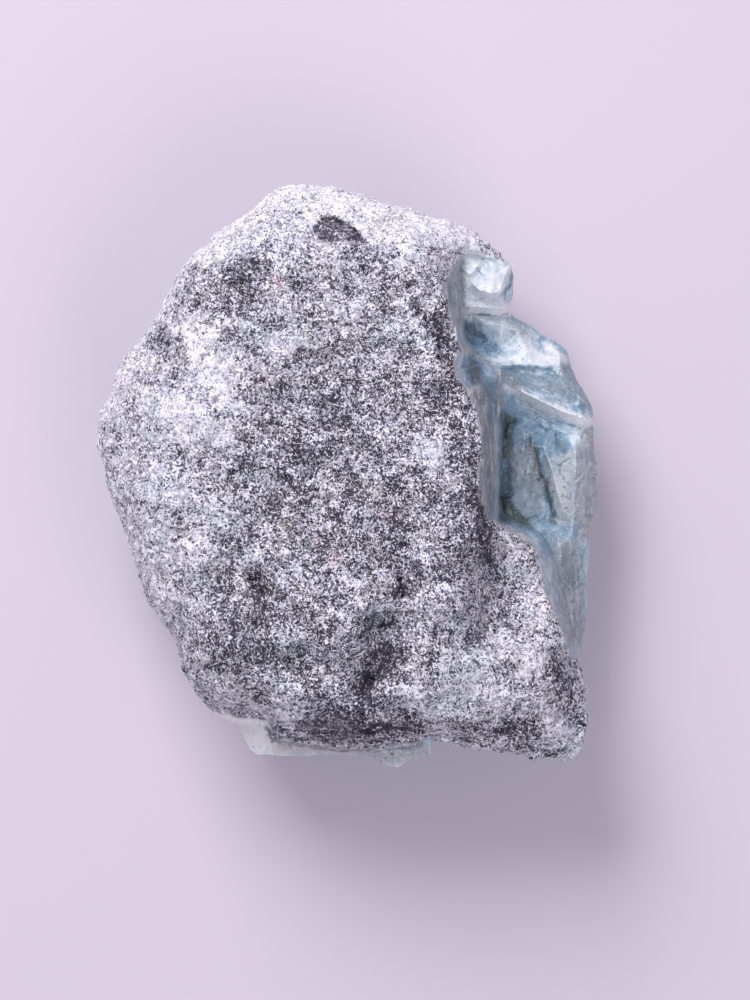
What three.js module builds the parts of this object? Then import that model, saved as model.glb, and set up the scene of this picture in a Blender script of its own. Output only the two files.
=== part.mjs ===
// A hand-sized piece of semi-polished larimar, lying on its polished face with the rough side up.
// A crust of dark volcanic rock covers most of the rough side. Along the right edge the crust has
// broken away, and the blue mineral shows as a set of flat fracture faces with sharp ridges.
// The sides are broken too, and lean in towards the polished face, which is a very shallow dome
// with a small flat spot that the stone rests on. It is all one piece, so it is one closed mesh.
//
// Millimetres. X runs right and Y up across the rough side, Z is the height above the resting spot.

import * as THREE from "three";
import { ImprovedNoise } from "three/addons/math/ImprovedNoise.js";

// Driving dimensions
const CROWN = 23.2; // height of the crust's broad top
const DOME_RADIUS = 125; // the polished face's own curve
const SPOT = { across: 25, along: 22, x: 0.5, y: -1 }; // the flat spot at the bottom of the dome
const POLISHED_INSET = 3.6; // how far the polished face stays inside the outline
const POLISHED_EDGE = 2.2; // height of the rounding between the polished face and the sides

// How finely each part of the surface is divided
const EDGE_STEP = 1.25;
const CRUST_STEP = 1.2;
const BASE_STEP = 2.6;
const SIDE_RINGS = 9;

const ROLL = 2.4; // width of the rounded edge where the crust meets the outline
const ROLL_RINGS = [0.45, 1.15]; // distances from the outline of the points that round it
const LEDGE_CRUST_FOOT = 13.8; // height of the crust's lower edge over the pale ledge
const LEDGE_BACK = 12.2; // height of the pale ledge where the crust's edge stands on it
const LEDGE_OFFSET = 0.45; // how far out the foot of that small cliff lies
const LEDGE_STEP_FROM = 4; // the point of the ledge's edge where the cliff starts; left of it they are level

// Unevenness: swells of the crust, and the patchwork of broken faces on the crust and on the sides
const CRUST_SWELLS = { size: 9, height: 0.7 };
const CRUST_FACES = { size: 5.2, tilt: 0.2, skew: 0.3 };
const BEVEL_LUMPS = { size: 5, height: 0.5 };
const BEVEL_BLEND = 1.6; // width of the rounding between the crust's top and a bevel
const LOWER_RIGHT_DROP = 4.2; // how much lower the crust's lower right corner lies
const SIDE_BULGE = 0.5;
const SIDE_LUMPS = { size: 6, height: 0.7 };
const SIDE_FACES = { size: 5.5, tilt: 0.3 };
const SIDE_GIRTH = 22; // turns an angle round the stone into a length for those faces

const CRUST_COLOUR = 0x9a98a4;

// The outline seen from above, anticlockwise from the peak at the top, each point with its height.
const OUTLINE = [
  [-5.9, 29.8, 16.4], [-7.7, 29.2, 16.4], [-8.6, 28.3, 16.4], [-10.3, 26.8, 16.2], [-11.5, 26.1, 16],
  [-12.1, 25.2, 16], [-13.1, 25.0, 16], [-14.2, 23.8, 15.8], [-14.6, 23.1, 15.8], [-16.6, 21.9, 15.6],
  [-17.5, 20.2, 15.5], [-18.5, 17.8, 15.5], [-20.0, 15.6, 15.4], [-21.0, 14.0, 15.4], [-22.7, 12.3, 15.2],
  [-23.6, 10.5, 15.2], [-23.9, 9.0, 15.4], [-24.4, 7.6, 15.5], [-25.3, 6.0, 15.4], [-25.6, 4.4, 15.2],
  [-25.5, 2.8, 15], [-24.7, 0, 15], [-23.6, -3.4, 14.8], [-22.4, -7.0, 14.8], [-21.5, -9.7, 14.8],
  [-20.9, -12.0, 15], [-19.9, -13.9, 15], [-18.3, -15.5, 15], [-17.5, -17.0, 14.8], [-17.0, -19.7, 14.6],
  [-15.9, -21.9, 14], [-14.8, -23.0, 12.8], [-14.1, -24.2, 12.2], [-11.4, -25.3, 12.4], [-10.9, -26.5, 12.3],
  [-10.2, -28.0, 12.0], [-9.5, -28.4, 11.8], [-4.5, -28.7, 10], [-1.5, -28.5, 10], [1.8, -28.5, 10],
  [3.2, -29.4, 10], [4.9, -29.8, 10], [5.8, -29.2, 10], [7.1, -28.6, 10.5], [8.3, -28.3, 11.2],
  [8.3, -26.9, 13], [10.2, -26.9, 14], [12.4, -27.6, 14.4], [14.6, -28.0, 14.4], [17.0, -28.1, 14.4],
  [18.8, -28.8, 14.4], [21.2, -28.8, 14.6], [22.7, -29.0, 14.8], [23.4, -28.3, 14.8], [23.9, -26.6, 14.8],
  [24.1, -24.0, 14.4], [24.0, -21.0, 13.6], [23.1, -18.9, 12.2], [23.7, -17.3, 10.8], [24.1, -15.6, 10.2],
  [24.3, -12.8, 9.6], [24.1, -11.4, 9.5], [24.5, -8.6, 9.5], [24.5, -6.4, 9.5], [24.9, -3.6, 9.5],
  [25.5, 0, 9], [25.5, 1.0, 9], [25.0, 2.6, 9], [25.0, 5.2, 9.5], [25.0, 6.9, 9.5],
  [24.2, 8.4, 9.5], [23.3, 9.7, 9.5], [22.6, 11.4, 9.5], [21.9, 12.8, 10], [20.4, 13.8, 10.5],
  [18.2, 15.5, 11], [16.9, 16.2, 11.2], [16.2, 16.8, 11.6], [16.3, 17.4, 12], [16.6, 18.4, 12.2],
  [16.7, 20.4, 12.8], [16.3, 21.6, 13.4], [15.0, 23.1, 14.2], [13.3, 24.1, 15], [11.8, 25.1, 15.4],
  [9.4, 25.8, 15.8], [7.6, 26.2, 16.2], [6.2, 27.0, 16.4], [2.2, 27.7, 16.4], [0.2, 28.6, 16.4],
  [-1.4, 29.2, 16.4], [-4.2, 29.5, 16.4],
];

// Where the crust ends above the blue mineral: along the right, and over the pale ledge at the bottom.
const CRUST_EDGE = [
  [15.6, 21.7], [13.4, 22.7], [11.6, 23.3], [10.3, 22.9], [9.3, 21.8], [9.2, 20.2], [9.5, 18.2], [9.9, 16.2],
  [10.6, 14.6], [10.9, 13.0], [10.5, 11.2], [10.8, 9.7], [11.8, 8.2], [12.6, 6.4], [13.1, 4.4], [13.1, 2.0],
  [12.9, -0.8], [13.3, -2.8], [14.1, -4.3], [15.3, -5.2], [17.2, -6.0], [18.6, -7.3], [19.1, -9.4],
  [19.7, -11.8], [20.5, -13.8], [21.4, -15.6], [22.1, -17.4], [22.4, -18.6],
];
const LEDGE_EDGE = [
  [-12.9, -24.1], [-11.1, -24.5], [-9.4, -24.5], [-8.2, -25.3], [-7.6, -26.6], [-5.0, -27.1], [-1.0, -27.6],
  [1.6, -27.6], [4.2, -27.6], [6.2, -27.4], [7.4, -26.9],
];

// Points far outside the outline close each of those lines into an area.
const BLUE_AREA = [...CRUST_EDGE, [40, -18.8], [40, 21.7]];
const LEDGE_AREA = [...LEDGE_EDGE, [8.35, -26.4], [8.35, -40], [-14.2, -40], [-14.2, -24.1]];

// Ridges, creases and feet of the broken blue faces, as lines of x, y and height.
const BROKEN_LINES = {
  wallFoot: [
    [12.6, 22.5, 15.9], [11.6, 22.4, 16.4], [11.3, 21.2, 16.6], [11.4, 19.6, 16.2], [11.5, 17.8, 15.2],
    [11.6, 15.8, 13.2], [11.9, 14.2, 12.6], [12.6, 13.2, 12.9],
  ],
  blockTop: [[13.6, 22.2, 15.4], [14.7, 21.9, 15.1], [15.6, 21.3, 14.6]],
  blockCreaseHigh: [[12.2, 20.4, 17.3], [13.0, 21.4, 16.6]],
  blockCreaseLow: [[12.6, 20.1, 16.7], [13.4, 21.1, 16.0]],
  blockFace: [[13.4, 20.2, 16.3], [14.6, 20.2, 15.9]],
  blockCrest: [[12.4, 19.5, 16.9], [13.1, 18.9, 16.8], [14.2, 18.6, 16.5], [15.2, 18.7, 15.9]],
  blockSideTop: [[15.4, 19.3, 15.6], [15.9, 20.7, 15.1]],
  blockSideFoot: [[15.8, 18.7, 13.6], [16.3, 20.4, 13.7]],
  blockFoot: [[12.3, 18.6, 15.4], [13.1, 18.2, 15.0], [14.2, 18.0, 14.6], [15.3, 18.0, 14.1]],
  shelf: [[12.5, 17.2, 14.9], [13.9, 17.1, 14.8], [15.4, 17.1, 14.1]],
  groove: [[12.4, 16.6, 13.0], [13.8, 16.5, 12.7], [15.2, 16.4, 12.3]],
  upperFace: [[13.6, 15.8, 13.6], [15.4, 15.4, 13.4], [17.2, 14.9, 12.6]],
  pocket: [[12.7, 14.6, 11.6], [13.9, 13.9, 11.9], [15.2, 13.2, 12.6]],
  upperRidge: [
    [12.9, 12.4, 15.0], [14.1, 11.6, 15.4], [15.3, 11.3, 15.4], [17.4, 11.4, 15.0], [19.6, 11.3, 14.3],
    [21.4, 11.4, 13.2],
  ],
  upperRidgeFoot: [[16.2, 10.6, 14.5], [18.5, 10.4, 14.2], [20.4, 10.0, 13.6], [21.6, 9.7, 12.9]],
  slopeFoot: [[17.2, 9.4, 13.9], [19.2, 8.6, 13.4], [21.2, 7.7, 12.7], [23.1, 7.1, 11.7]],
  whiteRidge: [
    [16.1, 9.4, 14.6], [17.8, 8.5, 14.2], [19.6, 7.6, 13.6], [21.4, 6.7, 12.9], [23.0, 6.2, 12.1],
    [24.0, 5.9, 11.2],
  ],
  whiteRidgeFoot: [
    [16.6, 8.1, 11.6], [18.2, 7.3, 11.2], [20.2, 6.1, 10.9], [22.2, 5.4, 10.9], [23.6, 4.9, 10.7],
  ],
  outerCorner: [
    [21.5, 12.3, 11.8], [21.4, 11.4, 13.2], [21.6, 10.6, 13.2], [22.5, 9.4, 12.2], [23.6, 7.9, 11.3],
  ],
  terraceEdge: [
    [15.3, 10.1, 15.7], [15.5, 8.6, 16.0], [15.4, 6.6, 16.3], [15.1, 4.4, 16.6], [15.0, 2.2, 16.6],
    [14.9, 0, 16.6], [14.8, -2.0, 16.6], [14.8, -3.5, 16.8],
  ],
  recessFoot: [
    [16.1, 6.6, 11.2], [15.8, 4.4, 10.9], [15.7, 2.2, 10.8], [15.6, 0, 10.8], [15.5, -2.0, 10.9],
    [15.7, -3.6, 11.2], [17.0, -4.5, 11.5], [18.4, -4.9, 11.8], [19.6, -5.8, 12.2],
  ],
  recessFloor: [[17.6, 5.0, 10.6], [17.4, 2.4, 10.7], [17.4, -0.4, 10.9], [17.6, -3.0, 11.2]],
  recessSwell: [[20.4, 4.9, 11.2], [21.2, 3.4, 11.7]],
  foldFoot: [
    [18.6, 3.2, 10.9], [19.3, 1.2, 10.9], [19.9, -1.2, 11.0], [20.5, -3.4, 11.3], [21.1, -5.0, 11.6],
  ],
  foldTop: [[19.8, 3.0, 11.9], [20.5, 1.0, 12.4], [21.1, -1.2, 12.5], [21.7, -3.2, 12.4]],
  paleSwell: [
    [23.0, 3.4, 11.8], [23.1, 1.2, 12.3], [23.0, -1.2, 12.2], [22.9, -3.6, 12.0], [22.6, -6.0, 11.8],
  ],
  lowerFace: [
    [20.7, -7.6, 13.0], [21.4, -10.2, 12.7], [22.0, -12.6, 12.6], [22.7, -15.2, 12.2], [23.0, -17.2, 12.0],
  ],
};
const LEDGE_LINES = {
  lip: [[-10.5, -25.3, 13.4], [-9.9, -26.5, 13.2], [-9.0, -27.4, 12.8]],
  swell: [[-7.6, -27.9, 11.6], [-4.6, -28.1, 11.0]],
  lump: [[2.9, -28.5, 11.4], [4.2, -28.7, 12.0], [5.6, -28.4, 11.9]],
};

// Broad faces that cut the crust's edges, each through one point, falling towards its facing.
const BEVELS = [
  { through: [-2, 24.3, 22.6], facing: 84, slope: 42 },
  { through: [-11.5, 22.6, 21.8], facing: 122, slope: 44 },
  { through: [-17.5, 14, 21.2], facing: 152, slope: 40 },
  { through: [-21, 3, 21.0], facing: 184, slope: 44 },
  { through: [-18.5, -10, 21.0], facing: 205, slope: 42 },
  { through: [-11, -21, 20.8], facing: 240, slope: 42 },
  { through: [4, -24.2, 20.8], facing: 268, slope: 46 },
  { through: [17.5, -25.5, 18.6], facing: 282, slope: 40 },
  { through: [21, -21, 18.4], facing: 350, slope: 48 },
  { through: [9, 21, 21.4], facing: 38, slope: 40 },
];

// Swells, hollows and gullies of the crust: a rise (or fall) that fades with distance from a line.
const SWELLS = [
  { from: [-5, 22.5], to: [-1.5, 22.5], reach: 2.4, rise: 0.7 },
  { from: [-15, 20.2], to: [-11.2, 19.6], reach: 1.5, rise: -1.1 },
  { from: [-10.6, 18.2], to: [-8.2, 16.2], reach: 1.5, rise: -1.1 },
  { from: [-2.4, 24.7], to: [0.4, 24.0], reach: 1.5, rise: -2.0 },
  { from: [-16, 12], to: [-14, 3], reach: 4.0, rise: 0.9 },
  { from: [-8, 9], to: [-6, 13], reach: 3.0, rise: 0.5 },
  { from: [0, 14], to: [6, 10], reach: 4.0, rise: 0.5 },
  { from: [2, 2], to: [9, -1], reach: 4.5, rise: 0.6 },
  { from: [-14, -11], to: [-12.5, -12], reach: 1.7, rise: -1.2 },
  { from: [-8.8, -10.5], to: [-9.2, -17], reach: 1.3, rise: -1.5 },
  { from: [-9, -18.5], to: [-5.5, -18.5], reach: 1.8, rise: -1.0 },
  { from: [-6, -11.5], to: [-1, -9], reach: 2.6, rise: 0.9 },
  { from: [-3.5, -14.5], to: [0.5, -13], reach: 2.2, rise: 0.8 },
  { from: [-12, -6.5], to: [-9, -5.5], reach: 2.2, rise: -0.6 },
  { from: [5.1, -10], to: [5.2, -12], reach: 0.9, rise: -1.0 },
  { from: [3.2, -15], to: [2.2, -20], reach: 1.7, rise: -1.6 },
  { from: [1.8, -20.5], to: [0.2, -24], reach: 1.6, rise: -1.3 },
  { from: [12, -18], to: [17, -17.5], reach: 3.4, rise: 1.6 },
  { from: [8, -22], to: [17, -21.5], reach: 2.6, rise: 1.0 },
  { from: [11.2, -16.8], to: [12.2, -16.4], reach: 0.9, rise: -0.9 },
  { from: [16, -25.4], to: [19, -24.7], reach: 1.1, rise: -1.9 },
  { from: [20.5, -26.6], to: [22.4, -25.6], reach: 1.6, rise: 1.5 },
  { from: [16.6, -8.4], to: [18, -11], reach: 1.7, rise: 0.9 },
  { from: [6.7, 17.6], to: [6.9, 16.4], reach: 0.7, rise: -1.1 },
  { from: [6.2, 19.1], to: [6.4, 19.3], reach: 0.5, rise: -0.9 },
  { from: [8.2, 19.9], to: [8.6, 19.0], reach: 0.6, rise: -0.8 },
];

// Small cliffs in the crust: it stands higher on the left of each line, walking from its start.
const SCARPS = [
  { from: [-16.2, 20.6], to: [-12, 21.4], height: 0.8, width: 0.6, fade: 2.6 },
  { from: [-12, 21.4], to: [-7.5, 24.0], height: 1.1, width: 0.6, fade: 2.4 },
  { from: [13.2, -9.5], to: [13.5, -2.5], height: 3.4, width: 0.9, fade: 5.0 },
  { from: [12.2, -14.5], to: [13.2, -9.5], height: 1.6, width: 1.2, fade: 4.0 },
  { from: [4.8, -17.5], to: [2.6, -21.5], height: 1.2, width: 0.7, fade: 3.0 },
  { from: [-8.6, -15.5], to: [-8.4, -9.5], height: -1.0, width: 0.6, fade: 2.4 },
  { from: [0.5, -26], to: [-8, -25.6], height: -1.2, width: 0.7, fade: 2.0 },
];

// Planes that trim the sides below the outline: facing and distance from the middle at the height
// of the outline, and how many degrees each leans in on its way down.
const SIDE_PLANES = [
  { facing: 12, distance: 24.6, lean: 16 },
  { facing: 48, distance: 26.0, lean: 26 },
  { facing: 80, distance: 28.4, lean: 21 },
  { facing: 116, distance: 27.6, lean: 27 },
  { facing: 148, distance: 24.4, lean: 22 },
  { facing: 182, distance: 24.2, lean: 26 },
  { facing: 208, distance: 23.2, lean: 18 },
  { facing: 240, distance: 27.0, lean: 24 },
  { facing: 270, distance: 28.2, lean: 17 },
  { facing: 306, distance: 36.2, lean: 20 },
  { facing: 352, distance: 26.8, lean: 19 },
];
const SIDE_PLANE_HEIGHT = 11; // the height at which those distances are measured

const { degToRad: radians, smoothstep, clamp, lerp } = THREE.MathUtils;
const noise = new ImprovedNoise();

// Several sizes of bumps added together, from about -1 to 1.
function lumps(x, y, z, size, octaves = 3) {
  let sum = 0;
  let share = 0.62;
  for (let octave = 0; octave < octaves; octave++) {
    const f = 2 ** octave / size;
    sum += share * noise.noise(x * f + 17 * octave, y * f - 9 * octave, z * f + 5);
    share /= 2;
  }
  return sum * 1.6;
}

// A patchwork of small flat faces, each with a tilt of its own, with little cliffs between them.
function brokenFaces(x, y, size, tilt) {
  let nearest = Infinity;
  let height = 0;
  for (let column = Math.round(x / size) - 1; column <= Math.round(x / size) + 1; column++)
    for (let row = Math.round(y / size) - 1; row <= Math.round(y / size) + 1; row++) {
      const wander = (seed) => noise.noise(column * 0.73 + seed, row * 0.61 - seed, seed);
      const dx = x - size * (column + 0.7 * wander(0.37));
      const dy = y - size * (row + 0.7 * wander(4.81));
      if (dx * dx + dy * dy >= nearest) continue;
      nearest = dx * dx + dy * dy;
      height = tilt * (2 * dx * wander(9.13) + 2 * dy * wander(13.57) + size * wander(17.29));
    }
  return height;
}

// A line with points added so that none is further than step from the next. Its own points stay.
function divided(line, step, closed = false) {
  const points = [];
  const pieces = closed ? line.length : line.length - 1;
  for (let i = 0; i < pieces; i++) {
    const a = line[i];
    const b = line[(i + 1) % line.length];
    const parts = Math.max(1, Math.round(Math.hypot(b[0] - a[0], b[1] - a[1]) / step));
    for (let k = 0; k < parts; k++) points.push(a.map((value, axis) => lerp(value, b[axis], k / parts)));
  }
  if (!closed) points.push([...line[line.length - 1]]);
  return points;
}

function isInside(polygon, x, y) {
  let inside = false;
  polygon.forEach(([ax, ay], i) => {
    const [bx, by] = polygon[(i + 1) % polygon.length];
    if (ay > y !== by > y && x < ax + ((bx - ax) * (y - ay)) / (by - ay)) inside = !inside;
  });
  return inside;
}

// Distance from a point to the line a-b, how far along it the nearest point lies, and which side.
function fromSegment(a, b, x, y) {
  const dx = b[0] - a[0];
  const dy = b[1] - a[1];
  const share = clamp(((x - a[0]) * dx + (y - a[1]) * dy) / (dx * dx + dy * dy), 0, 1);
  const distance = Math.hypot(x - a[0] - dx * share, y - a[1] - dy * share);
  const left = (dx * (y - a[1]) - dy * (x - a[0])) / Math.hypot(dx, dy);
  return { distance, share, left };
}

function nearestOn(line, x, y, closed) {
  let best = { distance: Infinity };
  const pieces = closed ? line.length : line.length - 1;
  for (let i = 0; i < pieces; i++) {
    const found = fromSegment(line[i], line[(i + 1) % line.length], x, y);
    if (found.distance < best.distance) best = { ...found, index: i };
  }
  return best;
}

const rim = divided(OUTLINE, EDGE_STEP, true);

// Height of the crust before its edge rolls down: the crown, its swells and cliffs, and the bevels.
function crustTop(x, y) {
  const { size, tilt, skew } = CRUST_FACES;
  let height = CROWN + CRUST_SWELLS.height * lumps(x, y, 0, CRUST_SWELLS.size);
  height += brokenFaces(x + skew * y, y, size, tilt);
  for (const { from, to, reach, rise } of SWELLS) {
    const { distance } = fromSegment(from, to, x, y);
    height += rise * Math.exp(-((distance / reach) ** 2));
  }
  for (const { from, to, height: step, width, fade } of SCARPS) {
    const { distance, left } = fromSegment(from, to, x, y);
    height += (step / 2) * Math.tanh(left / width) * Math.exp(-((distance / fade) ** 2));
  }
  // The lower right of the crust lies lower than the rest.
  const right = smoothstep(x - 0.25 * (y + 9), 8, 18);
  height -= LOWER_RIGHT_DROP * right * smoothstep(-y, 1, 8);
  for (const { through, facing, slope } of BEVELS) {
    const out = (x - through[0]) * Math.cos(radians(facing)) + (y - through[1]) * Math.sin(radians(facing));
    const uneven = BEVEL_LUMPS.height * lumps(x, y, facing, BEVEL_LUMPS.size);
    const plane = through[2] - out * Math.tan(radians(slope)) + uneven;
    const blend = clamp(0.5 + (height - plane) / BEVEL_BLEND, 0, 1);
    height += (plane - height) * blend - 0.4 * blend * (1 - blend);
  }
  return height;
}

// The crust's own height with its rounded edge, at the outline and over the pale ledge.
function crustHeight(x, y) {
  const { distance, share, index } = nearestOn(rim, x, y, true);
  const rimHeight = lerp(rim[index][2], rim[(index + 1) % rim.length][2], share);
  const overLedge = nearestOn(LEDGE_EDGE, x, y).distance;
  const edgeHeight = overLedge < distance ? Math.max(LEDGE_CRUST_FOOT, rimHeight) : rimHeight;
  const t = Math.min(Math.min(distance, overLedge) / ROLL, 1);
  return edgeHeight + (crustTop(x, y) - edgeHeight) * (0.35 * t + 0.65 * Math.sqrt(1 - (1 - t) ** 2));
}

// Bowyer-Watson: the triangles, as triples of indices, of the Delaunay net over points in the plane.
function delaunay(points) {
  const far = 1e4;
  const all = [...points, [-far, -far], [far, -far], [0, far]];
  const circle = (a, b, c) => {
    const [ax, ay] = all[a];
    const bx = all[b][0] - ax;
    const by = all[b][1] - ay;
    const cx = all[c][0] - ax;
    const cy = all[c][1] - ay;
    const d = 2 * (bx * cy - by * cx);
    const ux = (cy * (bx * bx + by * by) - by * (cx * cx + cy * cy)) / d;
    const uy = (bx * (cx * cx + cy * cy) - cx * (bx * bx + by * by)) / d;
    return { corners: [a, b, c], x: ax + ux, y: ay + uy, square: ux * ux + uy * uy };
  };
  const n = points.length;
  let net = [circle(n, n + 1, n + 2)];
  points.forEach(([x, y], i) => {
    const open = new Map();
    net = net.filter((t) => {
      if ((x - t.x) ** 2 + (y - t.y) ** 2 >= t.square) return true;
      t.corners.forEach((a, k) => {
        const b = t.corners[(k + 1) % 3];
        if (!open.delete(`${b} ${a}`)) open.set(`${a} ${b}`, [a, b]);
      });
      return false;
    });
    for (const [a, b] of open.values()) net.push(circle(a, b, i));
  });
  return net.map((t) => t.corners).filter((corners) => corners.every((corner) => corner < n));
}

// Triangles over an area of the plane, keeping only those inside its boundary.
function netInside(points, boundary) {
  return delaunay(points).filter(([a, b, c]) => {
    const x = (points[a][0] + points[b][0] + points[c][0]) / 3;
    const y = (points[a][1] + points[b][1] + points[c][1]) / 3;
    return isInside(boundary, x, y);
  });
}

// Points in a triangular pattern, jittered a little, where wanted says so.
function pattern(step, wanted) {
  const points = [];
  const reach = 32;
  for (let row = 0; row * step * 0.866 < 2 * reach; row++)
    for (let column = 0; column * step < 2 * reach; column++) {
      let x = -reach + (column + (row % 2) / 2) * step;
      let y = -reach + row * step * 0.866;
      x += 0.25 * step * noise.noise(x * 3.1, y * 3.1, 1.5);
      y += 0.25 * step * noise.noise(x * 3.1, y * 3.1, 7.5);
      if (wanted(x, y)) points.push([x, y]);
    }
  return points;
}

// Points at a distance inside the outline, where the crust reaches it.
function rollRing(inset) {
  return rim
    .map(([x, y], i) => {
      const [ax, ay] = rim[(i + rim.length - 1) % rim.length];
      const [bx, by] = rim[(i + 1) % rim.length];
      const length = Math.hypot(bx - ax, by - ay);
      return [x - (inset * (by - ay)) / length, y + (inset * (bx - ax)) / length];
    })
    .filter(([x, y]) => isCrust(x, y) && nearestOn(rim, x, y, true).distance > 0.8 * inset);
}

function isCrust(x, y) {
  return isInside(rim, x, y) && !isInside(BLUE_AREA, x, y) && !isInside(LEDGE_AREA, x, y);
}

// The rough side: the crust's pattern of points, and the lines of the broken faces.
function roughSide() {
  const crustEdge = divided(CRUST_EDGE, 1).map(([x, y]) => [x, y, crustHeight(x, y) - 0.3]);
  const ledgeEdge = divided(LEDGE_EDGE, 1).map(([x, y]) => [x, y, LEDGE_CRUST_FOOT]);
  const stepEdge = divided(LEDGE_EDGE.slice(LEDGE_STEP_FROM, -1), 1);
  const ledgeFoot = stepEdge.map(([x, y]) => [x, y - LEDGE_OFFSET, LEDGE_BACK]);
  const broken = Object.values({ ...BROKEN_LINES, ...LEDGE_LINES }).flatMap((line) => divided(line, 1.1));
  const rolled = ROLL_RINGS.flatMap(rollRing).map(([x, y]) => [x, y, crustHeight(x, y)]);
  const lines = [...crustEdge, ...ledgeEdge, ...broken, ...ledgeFoot, ...rolled];
  const distinct = lines.filter(
    ([x, y], i) =>
      nearestOn(rim, x, y, true).distance > 0.3 &&
      !lines.slice(0, i).some(([ox, oy]) => Math.hypot(x - ox, y - oy) < 0.3),
  );
  const innermost = Math.max(...ROLL_RINGS);
  const crust = pattern(CRUST_STEP, (x, y) => {
    if (!isCrust(x, y) || nearestOn(rim, x, y, true).distance < innermost + 0.5 * CRUST_STEP) return false;
    const clear = Math.min(nearestOn(CRUST_EDGE, x, y).distance, nearestOn(LEDGE_EDGE, x, y).distance);
    return clear > 0.55 * CRUST_STEP;
  }).map(([x, y]) => [x, y, crustHeight(x, y)]);
  return [...distinct, ...crust];
}

// Height of the polished dome: nothing over the flat spot, and a shallow arc beyond it.
function domeHeight(x, y) {
  const diameters = Math.hypot((x - SPOT.x) / SPOT.across, (y - SPOT.y) / SPOT.along);
  const diameter = (SPOT.across + SPOT.along) / 2;
  return Math.max(0, (diameter * diameters) ** 2 - (diameter / 2) ** 2) / (2 * DOME_RADIUS);
}

// One ring of the sides: share 0 is the outline and 1 the top of the rounding at the polished face.
function sideRing(share) {
  return rim.map(([x, y, z]) => {
    const height = lerp(z, POLISHED_EDGE + domeHeight(x, y), share);
    const length = Math.hypot(x, y);
    const [ux, uy] = [x / length, y / length];
    let radius = length - POLISHED_INSET * share ** 1.6;
    for (const { facing, distance, lean } of SIDE_PLANES) {
      const across = Math.cos(radians(facing)) * ux + Math.sin(radians(facing)) * uy;
      const limit = distance - (SIDE_PLANE_HEIGHT - height) * Math.tan(radians(lean));
      if (across < 0.3) continue;
      radius = Math.min(radius, lerp(length, limit / across, Math.min(1, share * 3)));
    }
    const around = SIDE_GIRTH * Math.atan2(y, x);
    const faces = brokenFaces(around, height, SIDE_FACES.size, SIDE_FACES.tilt);
    const broken = SIDE_LUMPS.height * (lumps(x, y, height, SIDE_LUMPS.size) + faces);
    radius += Math.sin(Math.PI * share) * (SIDE_BULGE + broken);
    return [ux * radius, uy * radius, height];
  });
}

// The polished face's rounding: from the last side ring in to where the dome begins.
function roundedRing(ring, turn) {
  const inward = POLISHED_EDGE * 0.9 * (1 - Math.cos(turn));
  return ring.map(([x, y]) => {
    const length = Math.hypot(x, y);
    const [px, py] = [x * (1 - inward / length), y * (1 - inward / length)];
    return [px, py, domeHeight(px, py) + POLISHED_EDGE * (1 - Math.sin(turn))];
  });
}

// A ring with its corners softened, as polishing leaves them.
function softened(ring, times) {
  let soft = ring;
  for (let pass = 0; pass < times; pass++)
    soft = soft.map((point, i) => {
      const before = soft[(i + soft.length - 1) % soft.length];
      const after = soft[(i + 1) % soft.length];
      return point.map((value, axis) => (before[axis] + 2 * value + after[axis]) / 4);
    });
  return soft;
}

function polishedFace(boundary) {
  const spotRing = Array.from({ length: 24 }, (_, i) => {
    const turn = (2 * Math.PI * i) / 24;
    return [SPOT.x + (SPOT.across / 2) * Math.cos(turn), SPOT.y + (SPOT.along / 2) * Math.sin(turn)];
  });
  const between = pattern(
    BASE_STEP,
    (x, y) =>
      isInside(boundary, x, y) &&
      !isInside(spotRing, x, y) &&
      nearestOn(boundary, x, y, true).distance > 0.6 * BASE_STEP &&
      nearestOn(spotRing, x, y, true).distance > 0.5 * BASE_STEP,
  );
  return [...spotRing, ...between].map(([x, y]) => [x, y, domeHeight(x, y)]);
}

function stoneGeometry() {
  const rings = [rim];
  for (let k = 1; k <= SIDE_RINGS; k++) rings.push(sideRing(k / SIDE_RINGS));
  const lowest = softened(rings.pop(), 6);
  rings.push(lowest);
  for (const degrees of [30, 60, 90]) rings.push(roundedRing(lowest, radians(degrees)));

  const positions = rings.flat();
  const triangles = [];
  const count = rim.length;
  for (let k = 0; k + 1 < rings.length; k++)
    for (let i = 0; i < count; i++) {
      const a = k * count + i;
      const b = k * count + ((i + 1) % count);
      triangles.push([a, a + count, b + count], [a, b + count, b]);
    }

  const bottom = rings.at(-1);
  const caps = [
    { boundary: rim, first: 0, inner: roughSide(), turned: false },
    { boundary: bottom, first: (rings.length - 1) * count, inner: polishedFace(bottom), turned: true },
  ];
  for (const { boundary, first, inner, turned } of caps) {
    const start = positions.length;
    positions.push(...inner);
    const index = (i) => (i < count ? first + i : start + i - count);
    for (const [a, b, c] of netInside([...boundary, ...inner], boundary))
      triangles.push(turned ? [index(a), index(c), index(b)] : [index(a), index(b), index(c)]);
  }

  const geometry = new THREE.BufferGeometry();
  geometry.setAttribute("position", new THREE.Float32BufferAttribute(positions.flat(), 3));
  geometry.setIndex(triangles.flat());
  geometry.computeVertexNormals();
  return geometry;
}

const stone = new THREE.Mesh(
  stoneGeometry(),
  new THREE.MeshStandardMaterial({ color: CRUST_COLOUR, roughness: 0.85, metalness: 0, flatShading: true }),
);
stone.name = "larimar_stone";

const part = new THREE.Group();
part.add(stone);

export default part;
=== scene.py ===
"""A semi-polished larimar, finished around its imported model.

The stone lies on its polished face. Its rough side is a crust of dark volcanic rock felted with
white needles, broken away along the right edge, where the blue mineral shows.
"""

import itertools
import math

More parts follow.
